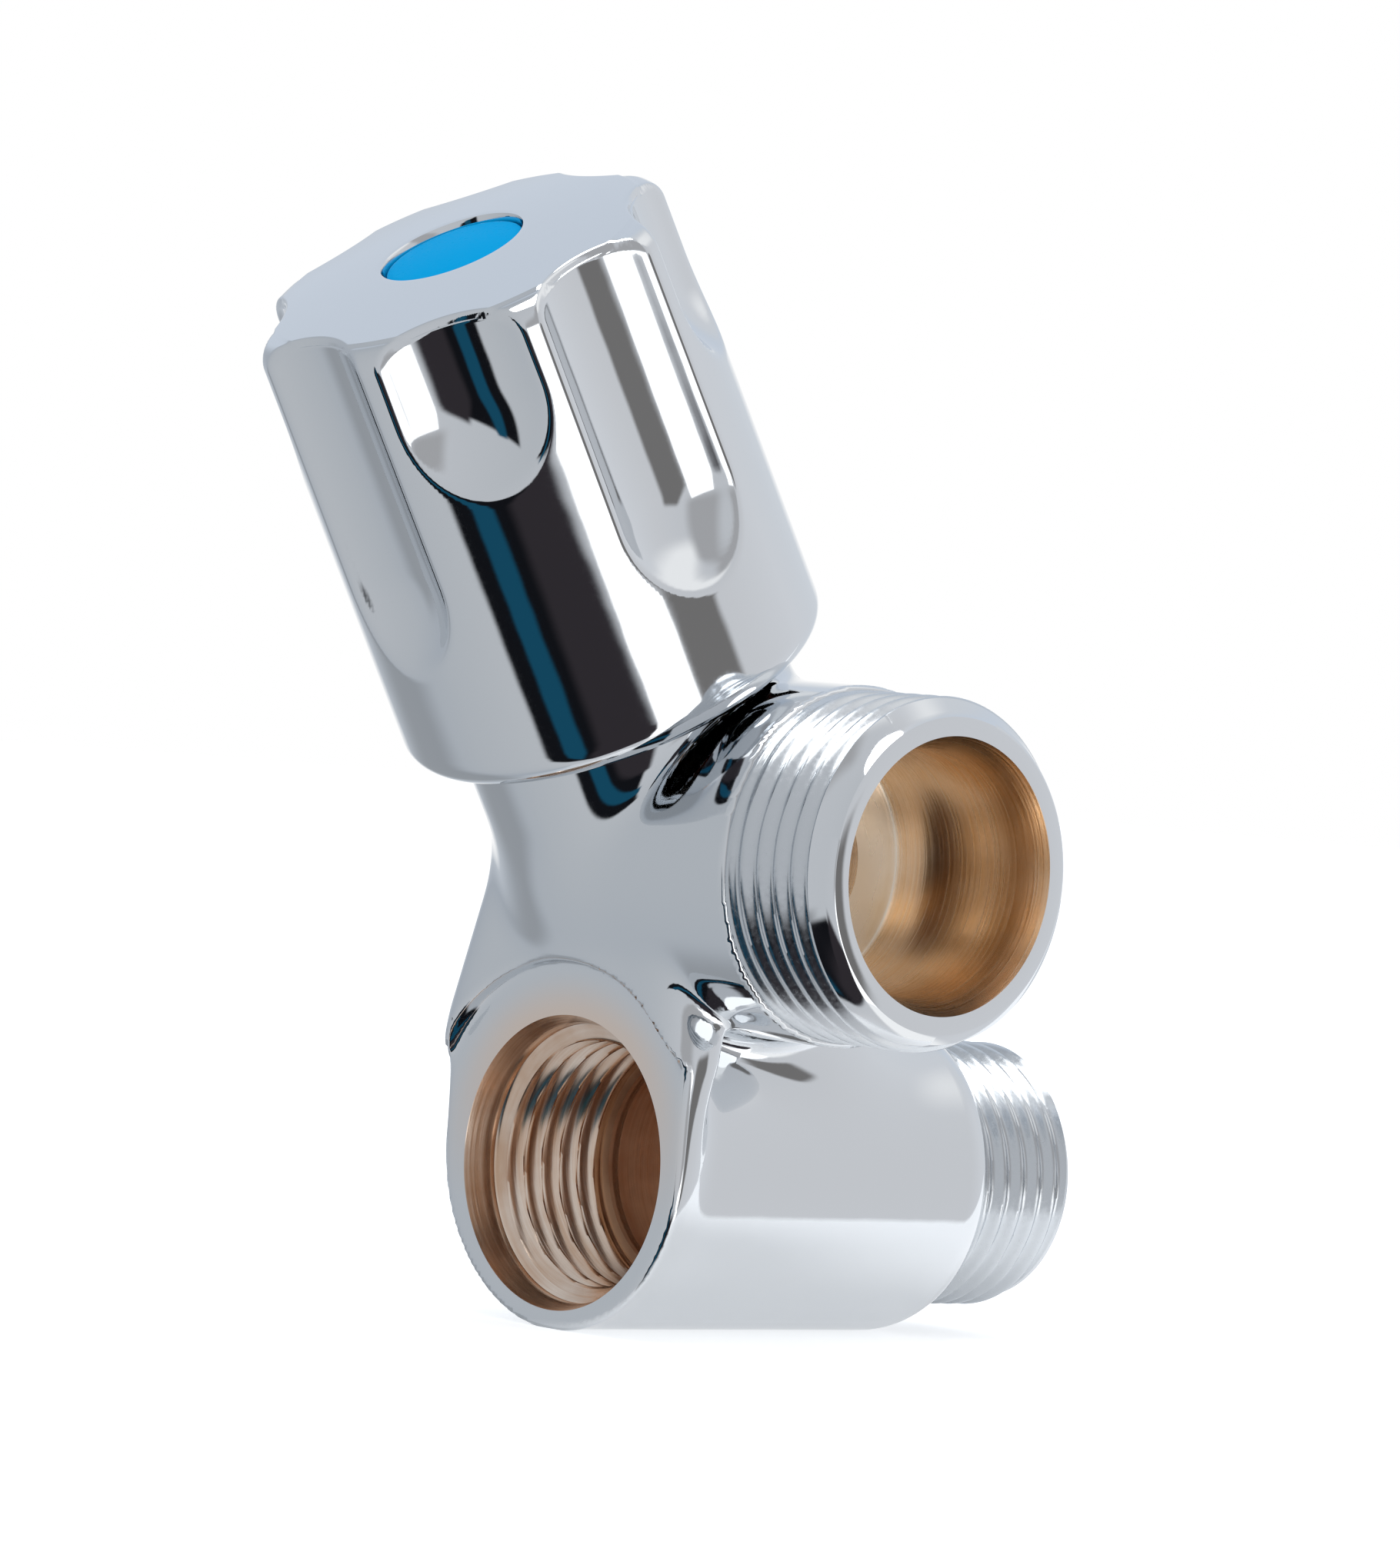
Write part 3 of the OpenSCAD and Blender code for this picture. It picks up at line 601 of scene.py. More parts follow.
def grained(name, code, scale, detail, grain_rough, roughness, dark=1.0, bump=None, **sockets):
    """A surface with one fine grain, which varies its colour, its roughness and its relief.

    The scale is in marks per metre, dark is the darkest share of the colour, roughness is a range or one number,
    and bump is a strength and a distance.
    """
    material, tree, shader, place = start_material(name)
    grain = noise(tree, place, scale, detail, grain_rough)
    colour = linear(code)
    if dark < 1:
        colour = mixed(tree, grain, tuple(c * dark for c in colour[:3]) + (1.0,), colour)
    if isinstance(roughness, tuple):
        roughness = ranged(tree, grain, 0.3, 0.7, *roughness)
    connect(tree, shader, {"Base Color": colour, "Roughness": roughness})
    if bump:
        connect(tree, shader, {"Normal": bumped(tree, grain, *bump)})
    connect(tree, shader, {key.replace("_", " "): value for key, value in sockets.items()})
    return material


def bar_metal(name, code, roughness, grain_mm):
    """Bar-turned or stamped metal: an even lay of fine tool marks."""
    spread = (roughness * 0.8, roughness * 1.2)
    return grained(name, code, 1000.0 / grain_mm, 3.0, 0.6, spread, dark=0.8, Metallic=1.0)


def moulded_plastic(name, code, roughness):
    """Injection moulded plastic: a faint fine texture of 0.4 mm, and little gloss."""
    spread = (roughness * 0.8, roughness * 1.3)
    return grained(name, code, 2500.0, 2.0, 0.5, spread, bump=(0.15, 0.00002), Specular_IOR_Level=0.005)


def soft_seal(name, code, roughness, grain_mm):
    """Moulded rubber or pressed fibre: dull, with a fine grain."""
    return grained(name, code, 1000.0 / grain_mm, 4.0, 0.65, roughness, dark=0.6, bump=(0.3, 0.00004))


# Each finish by its name, from the colours in the panel
FINISHES = {
    "polished chrome plating": lambda n, c: polished_chrome(n, c.chrome, c.warm_chrome),
    # Chrome plating over a cut thread: it dulls the tool marks but never turns into a mirror
    "satin chrome on the threads": lambda n, c: grained(
        n, c.thread_chrome, 2600.0, 3.0, 0.6, (0.15, 0.28), bump=(0.06, 0.00002), Metallic=1.0
    ),
    "turned brass of the outlet": lambda n, c: turned_brass(n, c.outlet_brass, "#E8C9A2", "X", 0.25, 0.24),
    "cut brass of the front port": lambda n, c: turned_brass(n, c.port_brass, "#D6B498", "Y", 0.3, 0.2),
    "bored brass": lambda n, c: turned_brass(n, c.bore_brass, "#D0A27E", "Y", 0.35, 0.6),
    "turned brass bar": lambda n, c: bar_metal(n, c.bar_brass, 0.28, 0.3),
    "zinc plated steel": lambda n, c: bar_metal(n, c.steel, 0.3, 0.25),
    "moulded blue plastic": lambda n, c: moulded_plastic(n, c.index_blue, 0.32),
    "slide washer plastic": lambda n, c: moulded_plastic(n, c.slide_plastic, 0.4),
    "moulded rubber": lambda n, c: soft_seal(n, c.rubber, 0.55, 0.3),
    "pressed fibre": lambda n, c: soft_seal(n, c.fibre, 0.8, 0.4),
}


def finish(name):
    """One of the shared materials, made on first use."""
    if name in bpy.data.materials:
        return bpy.data.materials[name]
    return FINISHES[name](name, bpy.context.scene.valve_finishes)


# ---- pieces ----


class VALVE_OT_studio(bpy.types.Operator):
    """Sets the camera at the photograph's place, with a pale floor and soft studio light"""

    bl_idname = "valve.studio"
    bl_label = "Camera and Studio"

    def execute(self, context):
        scene = context.scene
        scene.view_settings.view_transform = "Standard"
        lens = bpy.data.cameras.new("photograph camera")
        lens.sensor_fit = "VERTICAL"
        lens.sensor_height = 36.0
        lens.lens = 164.2
        lens.clip_start = 0.01
        camera = new_object("photograph_camera", lens)
        right, up, back = (0.6743, 0.734, 0.0814), (-0.0617, -0.0538, 0.9966), (0.7359, -0.677, 0.009)
        turn = Matrix((right, up, back)).transposed().to_4x4()
        camera.matrix_world = Matrix.Translation((0.40265, -0.39487, 0.03422)) @ turn
        scene.camera = camera

        floor_z = CAD_BOX[0][2]
        size = 3.0
        corners = ((-size, -size), (size, -size), (size, size), (-size, size))
        mesh = bpy.data.meshes.new("floor")
        mesh.from_pydata([(x, y, floor_z) for x, y in corners], [], [(0, 1, 2, 3)])
        floor = new_object("floor", mesh)
        mesh.materials.append(self.floor_finish())

        world = bpy.data.worlds.new("plain studio")
        scene.world = world
        world.use_nodes = True
        self.paint_studio(world.node_tree)

        lamp = bpy.data.lights.new("soft overhead lamp", "AREA")
        lamp.shape = "DISK"
        lamp.size = 0.6
        lamp.energy = 3.0
        overhead = new_object("soft_overhead_lamp", lamp)
        overhead.matrix_world = Matrix.Translation((0.15, -0.2, 0.9)) @ Matrix.Rotation(0.2, 4, "X")
        return {"FINISHED"}

    def floor_finish(self):
        """White paper sweep: matt for light and shadow, plain white to the camera and in the metal."""
        material, tree = bare_material("white paper sweep")
        paths, mirrored = ray_paths(tree)
        lift = calc(tree, "MULTIPLY", mirrored, 0.4)
        lift = calc(tree, "MULTIPLY_ADD", paths["Is Camera Ray"], 0.62, lift)
        paper = add(tree, "ShaderNodeBsdfDiffuse", {"Color": (0.8, 0.8, 0.8, 1.0)})
        glow = add(tree, "ShaderNodeEmission", {"Color": (0.97, 0.985, 1.0, 1.0), "Strength": lift})
        sweep = add(tree, "ShaderNodeAddShader", (paper, glow))
        # In the metal the paper ends in front and at the left of the valve, where the dark room begins
        parts = split(tree, add(tree, "ShaderNodeTexCoord", out="Object"))
        near = ranged(tree, parts["X"], -0.004, 0.004)
        deep = ranged(tree, parts["Y"], -0.040, -0.034)
        far = ranged(tree, parts["X"], 0.030, 0.027)
        on_paper = calc(tree, "MULTIPLY", calc(tree, "MULTIPLY", near, deep), far)
        gone = calc(tree, "MULTIPLY", calc(tree, "SUBTRACT", 1.0, on_paper), paths["Is Glossy Ray"])
        clear = add(tree, "ShaderNodeBsdfTransparent")
        both = add(tree, "ShaderNodeMixShader", {"Fac": gone, 1: sweep, 2: clear})
        add(tree, "ShaderNodeOutputMaterial", {"Surface": both})
        return material

    def paint_studio(self, tree):
        """Light grey-blue room round a white background, with a dark gap where the camera stands."""
        tree.nodes.clear()
        towards = add(tree, "ShaderNodeTexCoord", out="Generated")
        parts = split(tree, towards)
        bearing = calc(tree, "ARCTAN2", parts["Y"], parts["X"])
        walls = add(tree, "ShaderNodeValToRGB", (calc(tree, "MULTIPLY_ADD", bearing, 1 / FULL_TURN, 0.5),))
        self.set_ramp(walls.node.color_ramp, (
            (0.0, "#B2B8C0"),
            (0.12, "#BFC3C8"),
            (0.24, "#C6C9CD"),
            (0.5, "#D1D3D7"),
            (0.62, "#D9DADD"),
            (0.72, "#E0E2E6"),
            (0.86, "#D8DEE5"),
            (1.0, "#B2B8C0"),
        ))
        room = walls
        # Panels of the room: corners as bearing and height in degrees, colour, strength and softness of the edge
        panels = (
            (((-5, 30), (25, 62), (95, 62), (75, 38), (30, 32)), "#FFFFFF", 1.0, 8.0),
            (((105, 18), (110, 65), (170, 70), (-172, 30), (178, 14)), "#D5DDE8", 1.0, 8.0),
            (((150, -12), (-162, -14), (-162, -60), (150, -60)), "#A0A4A9", 1.0, 8.0),
            (((-24, 50), (4, 50), (8, -4), (-22, -14)), "#B1B1B3", 1.0, 6.0),
            (((12, -16), (18, 2), (33, 3), (37, -7), (28, -24)), "#7A7877", 1.0, 2.5),
            (((24, -34), (110, -32), (110, -54), (10, -54)), "#FFFFFF", 1.1, 3.0),
            (((-92, -4), (-2, -32), (6, -50), (-10, -78), (-82, -58)), "#141519", 1.0, 2.0),
            (((-44, -22), (-2, -32), (6, -50), (-10, -78), (-42, -64)), "#332F33", 1.0, 3.0),
            (((-80, -10), (-71, -13), (-51, -50), (-42, -72), (-66, -56)), "#174D66", 1.0, 1.6),
            (((-10, -30), (-16, -15), (4, -5), (13, -16.5), (25, -37), (10, -54), (0, -47)), "#FFFFFF", 1.6, 1.0),
        )
        for corners, code, strength, soft in panels:
            colour = tuple(c * strength for c in linear(code)[:3]) + (1.0,)
            inside = self.panel(tree, towards, corners, soft)
            room = mixed(tree, inside, room, colour)
        paths, mirrored = ray_paths(tree)
        # The white background lies behind the object: away from the camera, as the metal sees it
        away = self.along(tree, towards, (-0.7359, 0.677, 0.0))
        behind = ranged(tree, away, 0.93, 0.995)
        white = calc(tree, "MULTIPLY", mirrored, behind)
        white = calc(tree, "MAXIMUM", white, paths["Is Camera Ray"])
        colour = mixed(tree, white, room, (1.0, 1.0, 1.0, 1.0))
        light = add(tree, "ShaderNodeBackground", {"Color": colour, "Strength": 1.0})
        add(tree, "ShaderNodeOutputWorld", {"Surface": light})

    def along(self, tree, towards, direction):
        """How far a view direction runs along another."""
        inputs = {0: towards, 1: direction}
        return add(tree, "ShaderNodeVectorMath", inputs, out="Value", operation="DOT_PRODUCT")

    def panel(self, tree, towards, corners, soft):
        """A soft-edged panel of the room: 1 inside a convex outline of bearings and heights, 0 outside."""
        spots = []
        for bearing, height in corners:
            b, h = math.radians(bearing), math.radians(height)
            spots.append(Vector((math.cos(h) * math.cos(b), math.cos(h) * math.sin(b), math.sin(h))))
        middle = sum(spots, Vector()).normalized()
        reach = math.sin(math.radians(soft))
        inside = 1.0
        for i, spot in enumerate(spots):
            edge = spot.cross(spots[(i + 1) % len(spots)]).normalized()
            if edge.dot(middle) < 0:
                edge = -edge
            side = ranged(tree, self.along(tree, towards, tuple(edge)), -reach, reach, curve="SMOOTHSTEP")
            inside = calc(tree, "MULTIPLY", inside, side)
        return inside

    def set_ramp(self, ramp, stops):
        for position, _ in stops[1:-1]:
            ramp.elements.new(position)
        for element, (position, code) in zip(ramp.elements, stops):
            element.position = position
            element.color = linear(code)


class VALVE_OT_casting(bpy.types.Operator):
    """Builds the plated casting: tube, collar, neck and boss with soft blends, faced and bored"""

    bl_idname = "valve.casting"
    bl_label = "Casting"

    def execute(self, context):
        s = context.scene.valve_casting
        sides = context.scene.valve_threads.sides
        face = in_mm(s.face_back)
        step = in_mm(s.mesh_step) * 1.0
        mesh = skin_mesh(
            "casting",
            lambda p: casting_distance(p, s),
            lambda p: casting_slope(p, s),
            (-15.5, -45.0, -14.2),
            (20.8, 1.0, 47.0),
            step,
        )
        casting = new_object("casting", mesh)
        mesh.materials.append(finish("polished chrome plating"))
        mesh.materials.append(finish("bored brass"))
        mouth = in_mm(context.scene.valve_threads.port_mouth) / 2
        port = [
            (0, -face - 5), (mouth - 0.6, -face - 5), (mouth - 0.6, -face - 0.6), (mouth + 0.25, -face + 0.25),
            (mouth + 0.25, -22.9), (8.6, -22.9), (8.6, -4.8), (7.9, -4.8), (7.9, 3), (0, 3),
        ]
        outlet = [(0, 0), (4.6, 0), (4.6, 11.4), (5.6, 13.9), (9.75, 14.3), (9.75, 22), (0, 22)]
        chamber = [
            (0, -24), (5.5, -24), (5.5, -8.5), (6.9, -8.5), (6.9, -9.5), (9.4, -9.5), (9.4, 5.4),
            (10.4775, 5.4), (10.4775, 18), (0, 18),
        ]
        cut_away(casting, [
            cutter("port_and_passage", port, sides, tube_place()),
            cutter("outlet_hole", outlet, sides, outlet_place()),
            cutter("chamber", chamber, sides, spindle_place()),
        ])
        self.shade(casting.data, s)
        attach(casting, "valve")
        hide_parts("valve_body")
        return {"FINISHED"}

    def shade(self, mesh, s):
        """Gives the cast skin the exact normals of its form, and leaves the bores to their own edges."""
        mesh.shade_smooth()
        sharpen(mesh, 30)
        points = np.empty(len(mesh.vertices) * 3)
        mesh.vertices.foreach_get("co", points)
        points = points.reshape(-1, 3) / MM
        slope = casting_slope(points, s)
        slope /= np.maximum(np.linalg.norm(slope, axis=1), 1e-9)[:, None]
        corners = np.empty(len(mesh.loops), int)
        mesh.loops.foreach_get("vertex_index", corners)
        sizes = np.empty(len(mesh.polygons), int)
        slots = np.empty(len(mesh.polygons), int)
        mesh.polygons.foreach_get("loop_total", sizes)
        mesh.polygons.foreach_get("material_index", slots)
        bored = np.repeat(slots, sizes) == 1
        normals = slope[corners]
        normals[bored] = 0
        mesh.normals_split_custom_set(normals.tolist())


def thread_tree():
    """Cuts a right-hand pipe thread into a turned blank, where the blank's weight lets it."""
    if "cut thread" in bpy.data.node_groups:
        return bpy.data.node_groups["cut thread"]
    tree, given, parts = start_tree("cut thread", ("Pitch", "Cut", "Start", "Bluntness"))
    do = functools.partial(calc, tree)
    weight = add(tree, "GeometryNodeInputNamedAttribute", {"Name": "cut"}, data_type="FLOAT")
    bearing = do("ARCTAN2", parts["Y"], parts["X"])
    turns = do("MULTIPLY", bearing, 1 / FULL_TURN)
    phase = do("SUBTRACT", do("DIVIDE", parts["Z"], given["Pitch"]), turns)
    phase = do("FRACT", do("ADD", phase, given["Start"]))
    # 0 on the crest, 1 in the root, with straight flanks and rounded ends
    swing = do("ABSOLUTE", do("MULTIPLY_ADD", phase, 2.0, -1.0))
    flank = do("MULTIPLY_ADD", swing, -1.3, 1.17)
    flank = do("SMOOTH_MIN", flank, 1.0, given["Bluntness"])
    flank = do("SMOOTH_MAX", flank, 0.0, given["Bluntness"])
    sink = do("MULTIPLY", do("MULTIPLY", flank, given["Cut"]), weight)
    growth = do("DIVIDE", sink, off_axis(tree, parts["X"], parts["Y"]))
    return end_tree(tree, given, parts, do("ADD", growth, 1.0), parts["Z"])


def threaded(name, outline, place, sides, cut, start, blunt, material):
    """A turned blank with its thread cut, as a plain mesh in its place."""
    obj = new_object(name, turned_mesh(name, outline, sides))
    node_modifier(obj, thread_tree(), {
        "Pitch": bpy.context.scene.valve_threads.pitch,
        "Cut": cut * MM,
        "Start": start,
        "Bluntness": blunt,
        "Material": material,
    })
    made_plain(obj, place)
    sharpen(obj.data, 35)
    return obj


def thread_run(radius, start, end, fade=1.6):
    """Outline points along a thread, whose cut fades in from its start, or out to its end where fade is negative."""
    rows_per_millimetre = 14 / 1.814
    count = int((end - start) * rows_per_millimetre)
    points = []
    for i in range(count + 1):
        at = start + (end - start) * i / count
        weight = min(1.0, max(0.0, (at - start) / fade if fade > 0 else (end - at) / -fade))
        points.append((radius, at, weight * weight * (3 - 2 * weight)))
    return points


def paint(mesh, finish_name, chosen):
    """Gives a finish to the faces that are chosen by their middles, in millimetres."""
    mesh.materials.append(finish(finish_name))
    for polygon in mesh.polygons:
        if chosen(*(polygon.center / MM)):
            polygon.material_index = len(mesh.materials) - 1


class VALVE_OT_threaded_ends(bpy.types.Operator):
    """Turns and threads the hose outlet, the tail and the lining of the front port"""

    bl_idname = "valve.threaded_ends"
    bl_label = "Threaded Ends"

    def execute(self, context):
        t = context.scene.valve_threads
        sides = t.sides
        chrome = finish("satin chrome on the threads")
        depth = in_mm(t.depth)

        # Hose outlet: thread, chamfer, sealing face, fine-turned cone, brushed bore and drilled floor
        r = in_mm(t.outlet_diameter) / 2
        outline = [(12.0, 18.6), (r - 0.1, 19.2)] + thread_run(r, 19.5, 28.2) + [
            (12.5, 29.0, 0.6), (11.75, 29.55), (11.6, 29.6), (10.33, 29.6), (9.3, 26.6), (9.3, 14.3), (5.5, 14.0),
            (4.6, 11.6), (4.6, 11.2), (5.4, 11.2), (6.4, 13.5), (10.2, 13.7), (10.2, 18.6),
        ]
        outlet = threaded("outlet_end", outline, outlet_place(), sides, -depth, 0.1, 0.5, chrome)
        paint(outlet.data, "polished chrome plating", lambda x, y, z: x > 28.5)
        centre = SPINDLE_FOOT
        bore = lambda x, y, z: math.hypot(y - centre[1], z - centre[2]) < 10.4
        paint(outlet.data, "turned brass of the outlet", bore)

        # Tail: thread with a small chamfer, and its plain bore
        r = in_mm(t.tail_diameter) / 2
        outline = [(9.0, -3.0), (r, -2.2)] + thread_run(r, -1.3, 8.4, fade=1.2) + [
            (r, 8.6, 0.9), (r - 0.6, 9.2, 0.3), (7.4, 9.2), (7.4, -4.8), (8.9, -4.8),
        ]
        tail = threaded("tail_end", outline, tube_place(), sides, -depth, 0.05, 0.5, chrome)
        paint(tail.data, "bored brass", lambda x, y, z: math.hypot(x, z) < 8.0)

        # Front port: chamfered mouth, smooth lead-in and inside thread, bare brass
        face = -in_mm(context.scene.valve_casting.face_back)
        mouth, core = in_mm(t.port_mouth) / 2, in_mm(t.port_diameter) / 2
        outline = [(mouth, face), (11.9, face + 0.75), (11.9, -22.3), (9.2, -21.9), (8.6, -21.9), (8.6, -22.5)]
        outline += reversed(thread_run(core, face + 2.9, -22.9, fade=-1.4))
        outline += [
            (10.4, face + 2.75), (10.6, face + 2.6), (10.6, face + 1.8), (10.66, face + 1.6), (11.12, face + 0.1),
        ]
        brass = finish("cut brass of the front port")
        lining = threaded("port_lining", outline, tube_place(), sides, in_mm(t.port_depth), 0.55, 0.3, brass)

        for piece in (outlet, tail, lining):
            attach(piece, "valve")
            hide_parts("valve_body")
        return {"FINISHED"}


def flute_tree():
    """Cuts round-ended flutes, long and short in turn, into the turned handwheel blank."""
    tree, given, parts = start_tree("cut flutes", (
        "Flutes", "Turn", "Axis Radius", "Flute Radius", "Long Centre", "Short Centre", "Edge Round", "Top Round",
    ))
    do = functools.partial(calc, tree)
    long_centre, axis_r = given["Long Centre"], given["Axis Radius"]
    flute_r, top_r = given["Flute Radius"], given["Top Round"]
    top_weight = add(tree, "GeometryNodeInputNamedAttribute", {"Name": "top"}, data_type="FLOAT")
    radius = off_axis(tree, parts["X"], parts["Y"])
    # Angle from the nearest flute, and where that flute's round end has its centre
    bearing = do("ARCTAN2", parts["Y"], parts["X"])
    bearing = do("SUBTRACT", bearing, given["Turn"])
    share = do("MULTIPLY", given["Flutes"], 1 / FULL_TURN)
    count = do("MULTIPLY", bearing, share)
    nearest = do("ROUND", count)
    aside = do("DIVIDE", do("SUBTRACT", count, nearest), share)
    odd = do("FLOORED_MODULO", nearest, 2.0)
    centre = do("SUBTRACT", given["Short Centre"], long_centre)
    centre = do("MULTIPLY_ADD", centre, odd, long_centre)
    # The flute's wall: a cylinder with a ball at its lower end
    below = do("MAXIMUM", do("SUBTRACT", centre, parts["Z"]), 0.0)
    ball = do("MULTIPLY", flute_r, flute_r)
    ball = do("SUBTRACT", ball, do("MULTIPLY", below, below))
    across = do("MULTIPLY", do("SINE", aside), axis_r)
    root = do("SUBTRACT", ball, do("MULTIPLY", across, across))
    missed = do("LESS_THAN", root, 0.0)
    root = do("SQRT", do("MAXIMUM", root, 0.0))
    wall = do("MULTIPLY", do("COSINE", aside), axis_r)
    wall = do("ADD", do("SUBTRACT", wall, root), missed)
    kept = do("SMOOTH_MIN", radius, wall, given["Edge Round"])
    growth = do("DIVIDE", kept, radius)
    # The top edge rolls over into the flute
    into = do("SUBTRACT", top_r, do("SUBTRACT", wall, radius))
    into = do("MINIMUM", do("MAXIMUM", into, 0.0), top_r)
    whole = do("MULTIPLY", top_r, top_r)
    left = do("SQRT", do("SUBTRACT", whole, do("MULTIPLY", into, into)))
    drop = do("MULTIPLY", do("SUBTRACT", top_r, left), top_weight)
    return end_tree(tree, given, parts, growth, do("SUBTRACT", parts["Z"], drop))


class VALVE_OT_handwheel(bpy.types.Operator):
    """Turns the domed handwheel with its hub and skirt, and cuts its long and short flutes"""

    bl_idname = "valve.handwheel"
    bl_label = "Handwheel"

    def execute(self, context):
        w = context.scene.valve_handwheel
        sides = 512
        foot, top, high, dome = in_mm(w.foot_diameter) / 2, in_mm(w.top_diameter) / 2, in_mm(w.height), in_mm(w.dome)
        edge, side_rows, dome_rows, fine_rows = 2.0, 76, 61, 40
        shoulder = high - edge - (dome - math.sqrt(dome**2 - (top - edge / 2) ** 2))
        cap_hole, cap_floor = in_mm(w.cap_diameter) / 2 + 0.12, high - in_mm(w.cap_sink) - 1.5

        def dome_at(radius):
            return high - dome + math.sqrt(dome**2 - radius**2)

        # Outside: foot round, side, top round and dome, with close rows where the flutes run out
        outline = corner((foot - 2.0, 2.0), 2.0, -90, 0, 10)
        for i in range(1, side_rows):
            t = i / side_rows
            outline.append((foot + (top - foot) * t, 2.0 + (shoulder - 2.0) * t))
        rim = corner((top - edge, shoulder), edge, 0, 84, 12)
        outline += [(r, z, max(0.0, (z - shoulder) / edge)) for r, z in rim]
        start = rim[-1][0] - 0.2
        for i in range(dome_rows):
            r = start - 0.06 * i if i < fine_rows else start - 2.4 + (cap_hole + 2.75 - start) * (i - fine_rows) / 20
            outline.append((r, dome_at(r), 1.0))
        # The cap's recess, its floor, the screw's well, the hub and the skirt
        hub_top, web, hub_foot = 28.75, 30.55, 16.1
        outline += [
            (cap_hole + 0.12, dome_at(cap_hole) - 0.06), (cap_hole, dome_at(cap_hole) - 0.3), (cap_hole, cap_floor),
            (4.5, cap_floor), (4.5, web), (2.15, web), (2.15, hub_top), (4.05, hub_top), (4.05, hub_foot),
            (6.6, hub_foot), (6.6, web - 0.1), (11.8, web - 0.1), (11.8, 9.0), (13.6, 9.0), (13.6, 0.3), (13.9, 0.0),
        ]
        wheel = new_object("handwheel_fluted", turned_mesh("handwheel_fluted", outline, sides, "top"))
        flute_r, depth = in_mm(w.flute_radius), in_mm(w.flute_depth)
        axis_r = top - depth + flute_r
        reach = math.sqrt(flute_r**2 - (axis_r - top) ** 2)
        node_modifier(wheel, flute_tree(), {
            "Flutes": float(w.flutes),
            "Turn": w.flute_turn,
            "Axis Radius": axis_r * MM,
            "Flute Radius": w.flute_radius,
            "Long Centre": (high - in_mm(w.long_flute) + reach) * MM,
            "Short Centre": (high - in_mm(w.short_flute) + reach) * MM,
            "Edge Round": w.edge_round,
            "Top Round": 0.5 * MM,
            "Material": finish("polished chrome plating"),
        })
        made_plain(wheel, spindle_place(in_mm(w.bottom)))
        sharpen(wheel.data, 40)
        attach(wheel, "turning")
        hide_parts("handwheel")
        return {"FINISHED"}


class VALVE_OT_index_cap(bpy.types.Operator):
    """Turns the domed index cap with its soft rim and snap ring"""

    bl_idname = "valve.index_cap"
    bl_label = "Index Cap"

    def execute(self, context):
        w = context.scene.valve_handwheel
        radius = in_mm(w.cap_diameter) / 2
        top = in_mm(w.bottom) + in_mm(w.height) - in_mm(w.cap_sink)
        base, dome = top - 1.5, 45.0

        def height(r):
            return top - dome + math.sqrt(dome**2 - r**2)

        rim, rows = 0.35, 14
        outline = [(0.0, base), (3.65, base), (3.65, base - 1.0), (4.3, base - 1.0)]
        outline += [(4.45, base - 0.8), (4.45, base), (radius, base)]
        outline += corner((radius - rim, height(radius) - rim + 0.02), rim, 0, 84, 6)
        outline += [(r, height(r)) for r in (radius * (1 - i / rows) * 0.93 for i in range(rows))]
        outline.append((0.0, height(0.0)))
        cap = new_object("index_cap_domed", turned_mesh("index_cap_domed", outline, 192))
        cap.data.transform(spindle_place())
        cap.data.materials.append(finish("moulded blue plastic"))
        sharpen(cap.data, 40)
        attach(cap, "turning")
        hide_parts("index_cap")
        return {"FINISHED"}


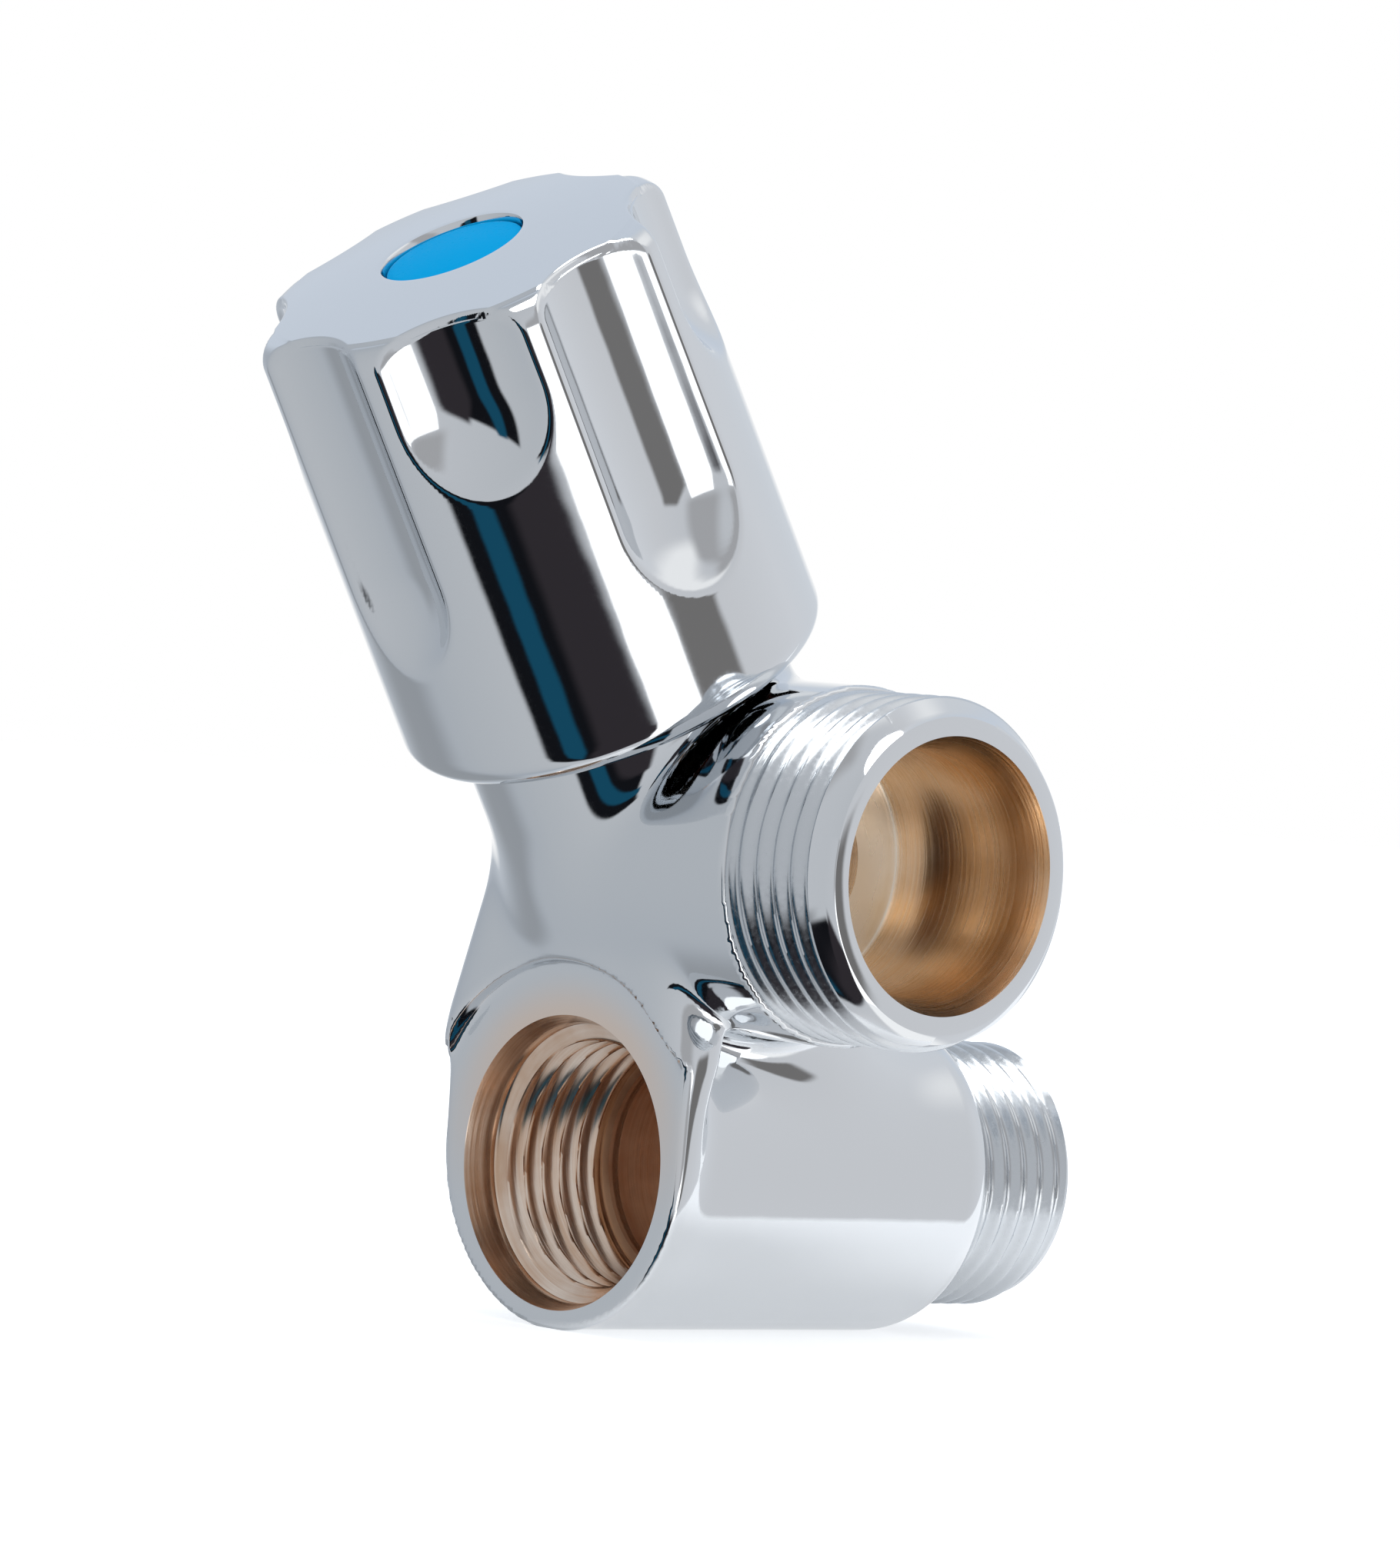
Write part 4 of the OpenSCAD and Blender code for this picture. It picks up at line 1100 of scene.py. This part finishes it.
class VALVE_OT_headwork(bpy.types.Operator):
    """Gives the headwork, spindle, plunger and small parts inside their finishes"""

    bl_idname = "valve.headwork"
    bl_label = "Headwork Finishes"

    def execute(self, context):
        finishes = {
            "turned brass bar": ("bonnet", "spindle", "plunger", "washer_nut"),
            "pressed fibre": ("bonnet_gasket",),
            "zinc plated steel": ("spindle_clip", "lock_washer", "handwheel_screw", "washer_plate"),
            "slide washer plastic": ("slide_washer",),
            "moulded rubber": ("spindle_o_ring_lower", "spindle_o_ring_upper", "plunger_o_ring", "seat_washer"),
        }
        for finish_name, parts in finishes.items():
            for name in parts:
                slots = frame["nodes"][name].material_slots
                if not slots:
                    raise ValueError(name + " has no material slot")
                for slot in slots:
                    slot.material = finish(finish_name)
        return {"FINISHED"}


OPERATORS = (
    VALVE_OT_studio,
    VALVE_OT_casting,
    VALVE_OT_threaded_ends,
    VALVE_OT_handwheel,
    VALVE_OT_index_cap,
    VALVE_OT_headwork,
)


class VALVE_PT_panel(bpy.types.Panel):
    """Lists the valve's pieces and the sizes and colours to change"""

    bl_idname = "VALVE_PT_panel"
    bl_label = "Appliance Connection Valve"
    bl_space_type = "VIEW_3D"
    bl_region_type = "UI"
    bl_category = "Valve"

    def draw(self, context):
        layout = self.layout
        for operator in OPERATORS:
            layout.operator(operator.bl_idname)
        for group in ("valve_casting", "valve_threads", "valve_handwheel", "valve_finishes"):
            box = layout.box()
            settings = getattr(context.scene, group)
            for key in settings.__annotations__:
                box.prop(settings, key)


GROUPS = (
    ("valve_casting", ValveCastingSizes),
    ("valve_threads", ValveThreadSizes),
    ("valve_handwheel", ValveHandwheelSizes),
    ("valve_finishes", ValveFinishes),
)


def register():
    for name, group in GROUPS:
        bpy.utils.register_class(group)
        setattr(bpy.types.Scene, name, PointerProperty(type=group))
    for operator in OPERATORS:
        bpy.utils.register_class(operator)
    bpy.utils.register_class(VALVE_PT_panel)


def unregister():
    bpy.utils.unregister_class(VALVE_PT_panel)
    for operator in reversed(OPERATORS):
        bpy.utils.unregister_class(operator)
    for name, group in reversed(GROUPS):
        delattr(bpy.types.Scene, name)
        bpy.utils.unregister_class(group)


def main():
    register()
    bpy.ops.valve.studio()
    bpy.ops.valve.casting()
    bpy.ops.valve.threaded_ends()
    bpy.ops.valve.handwheel()
    bpy.ops.valve.index_cap()
    bpy.ops.valve.headwork()


if __name__ == "__main__":
    main()
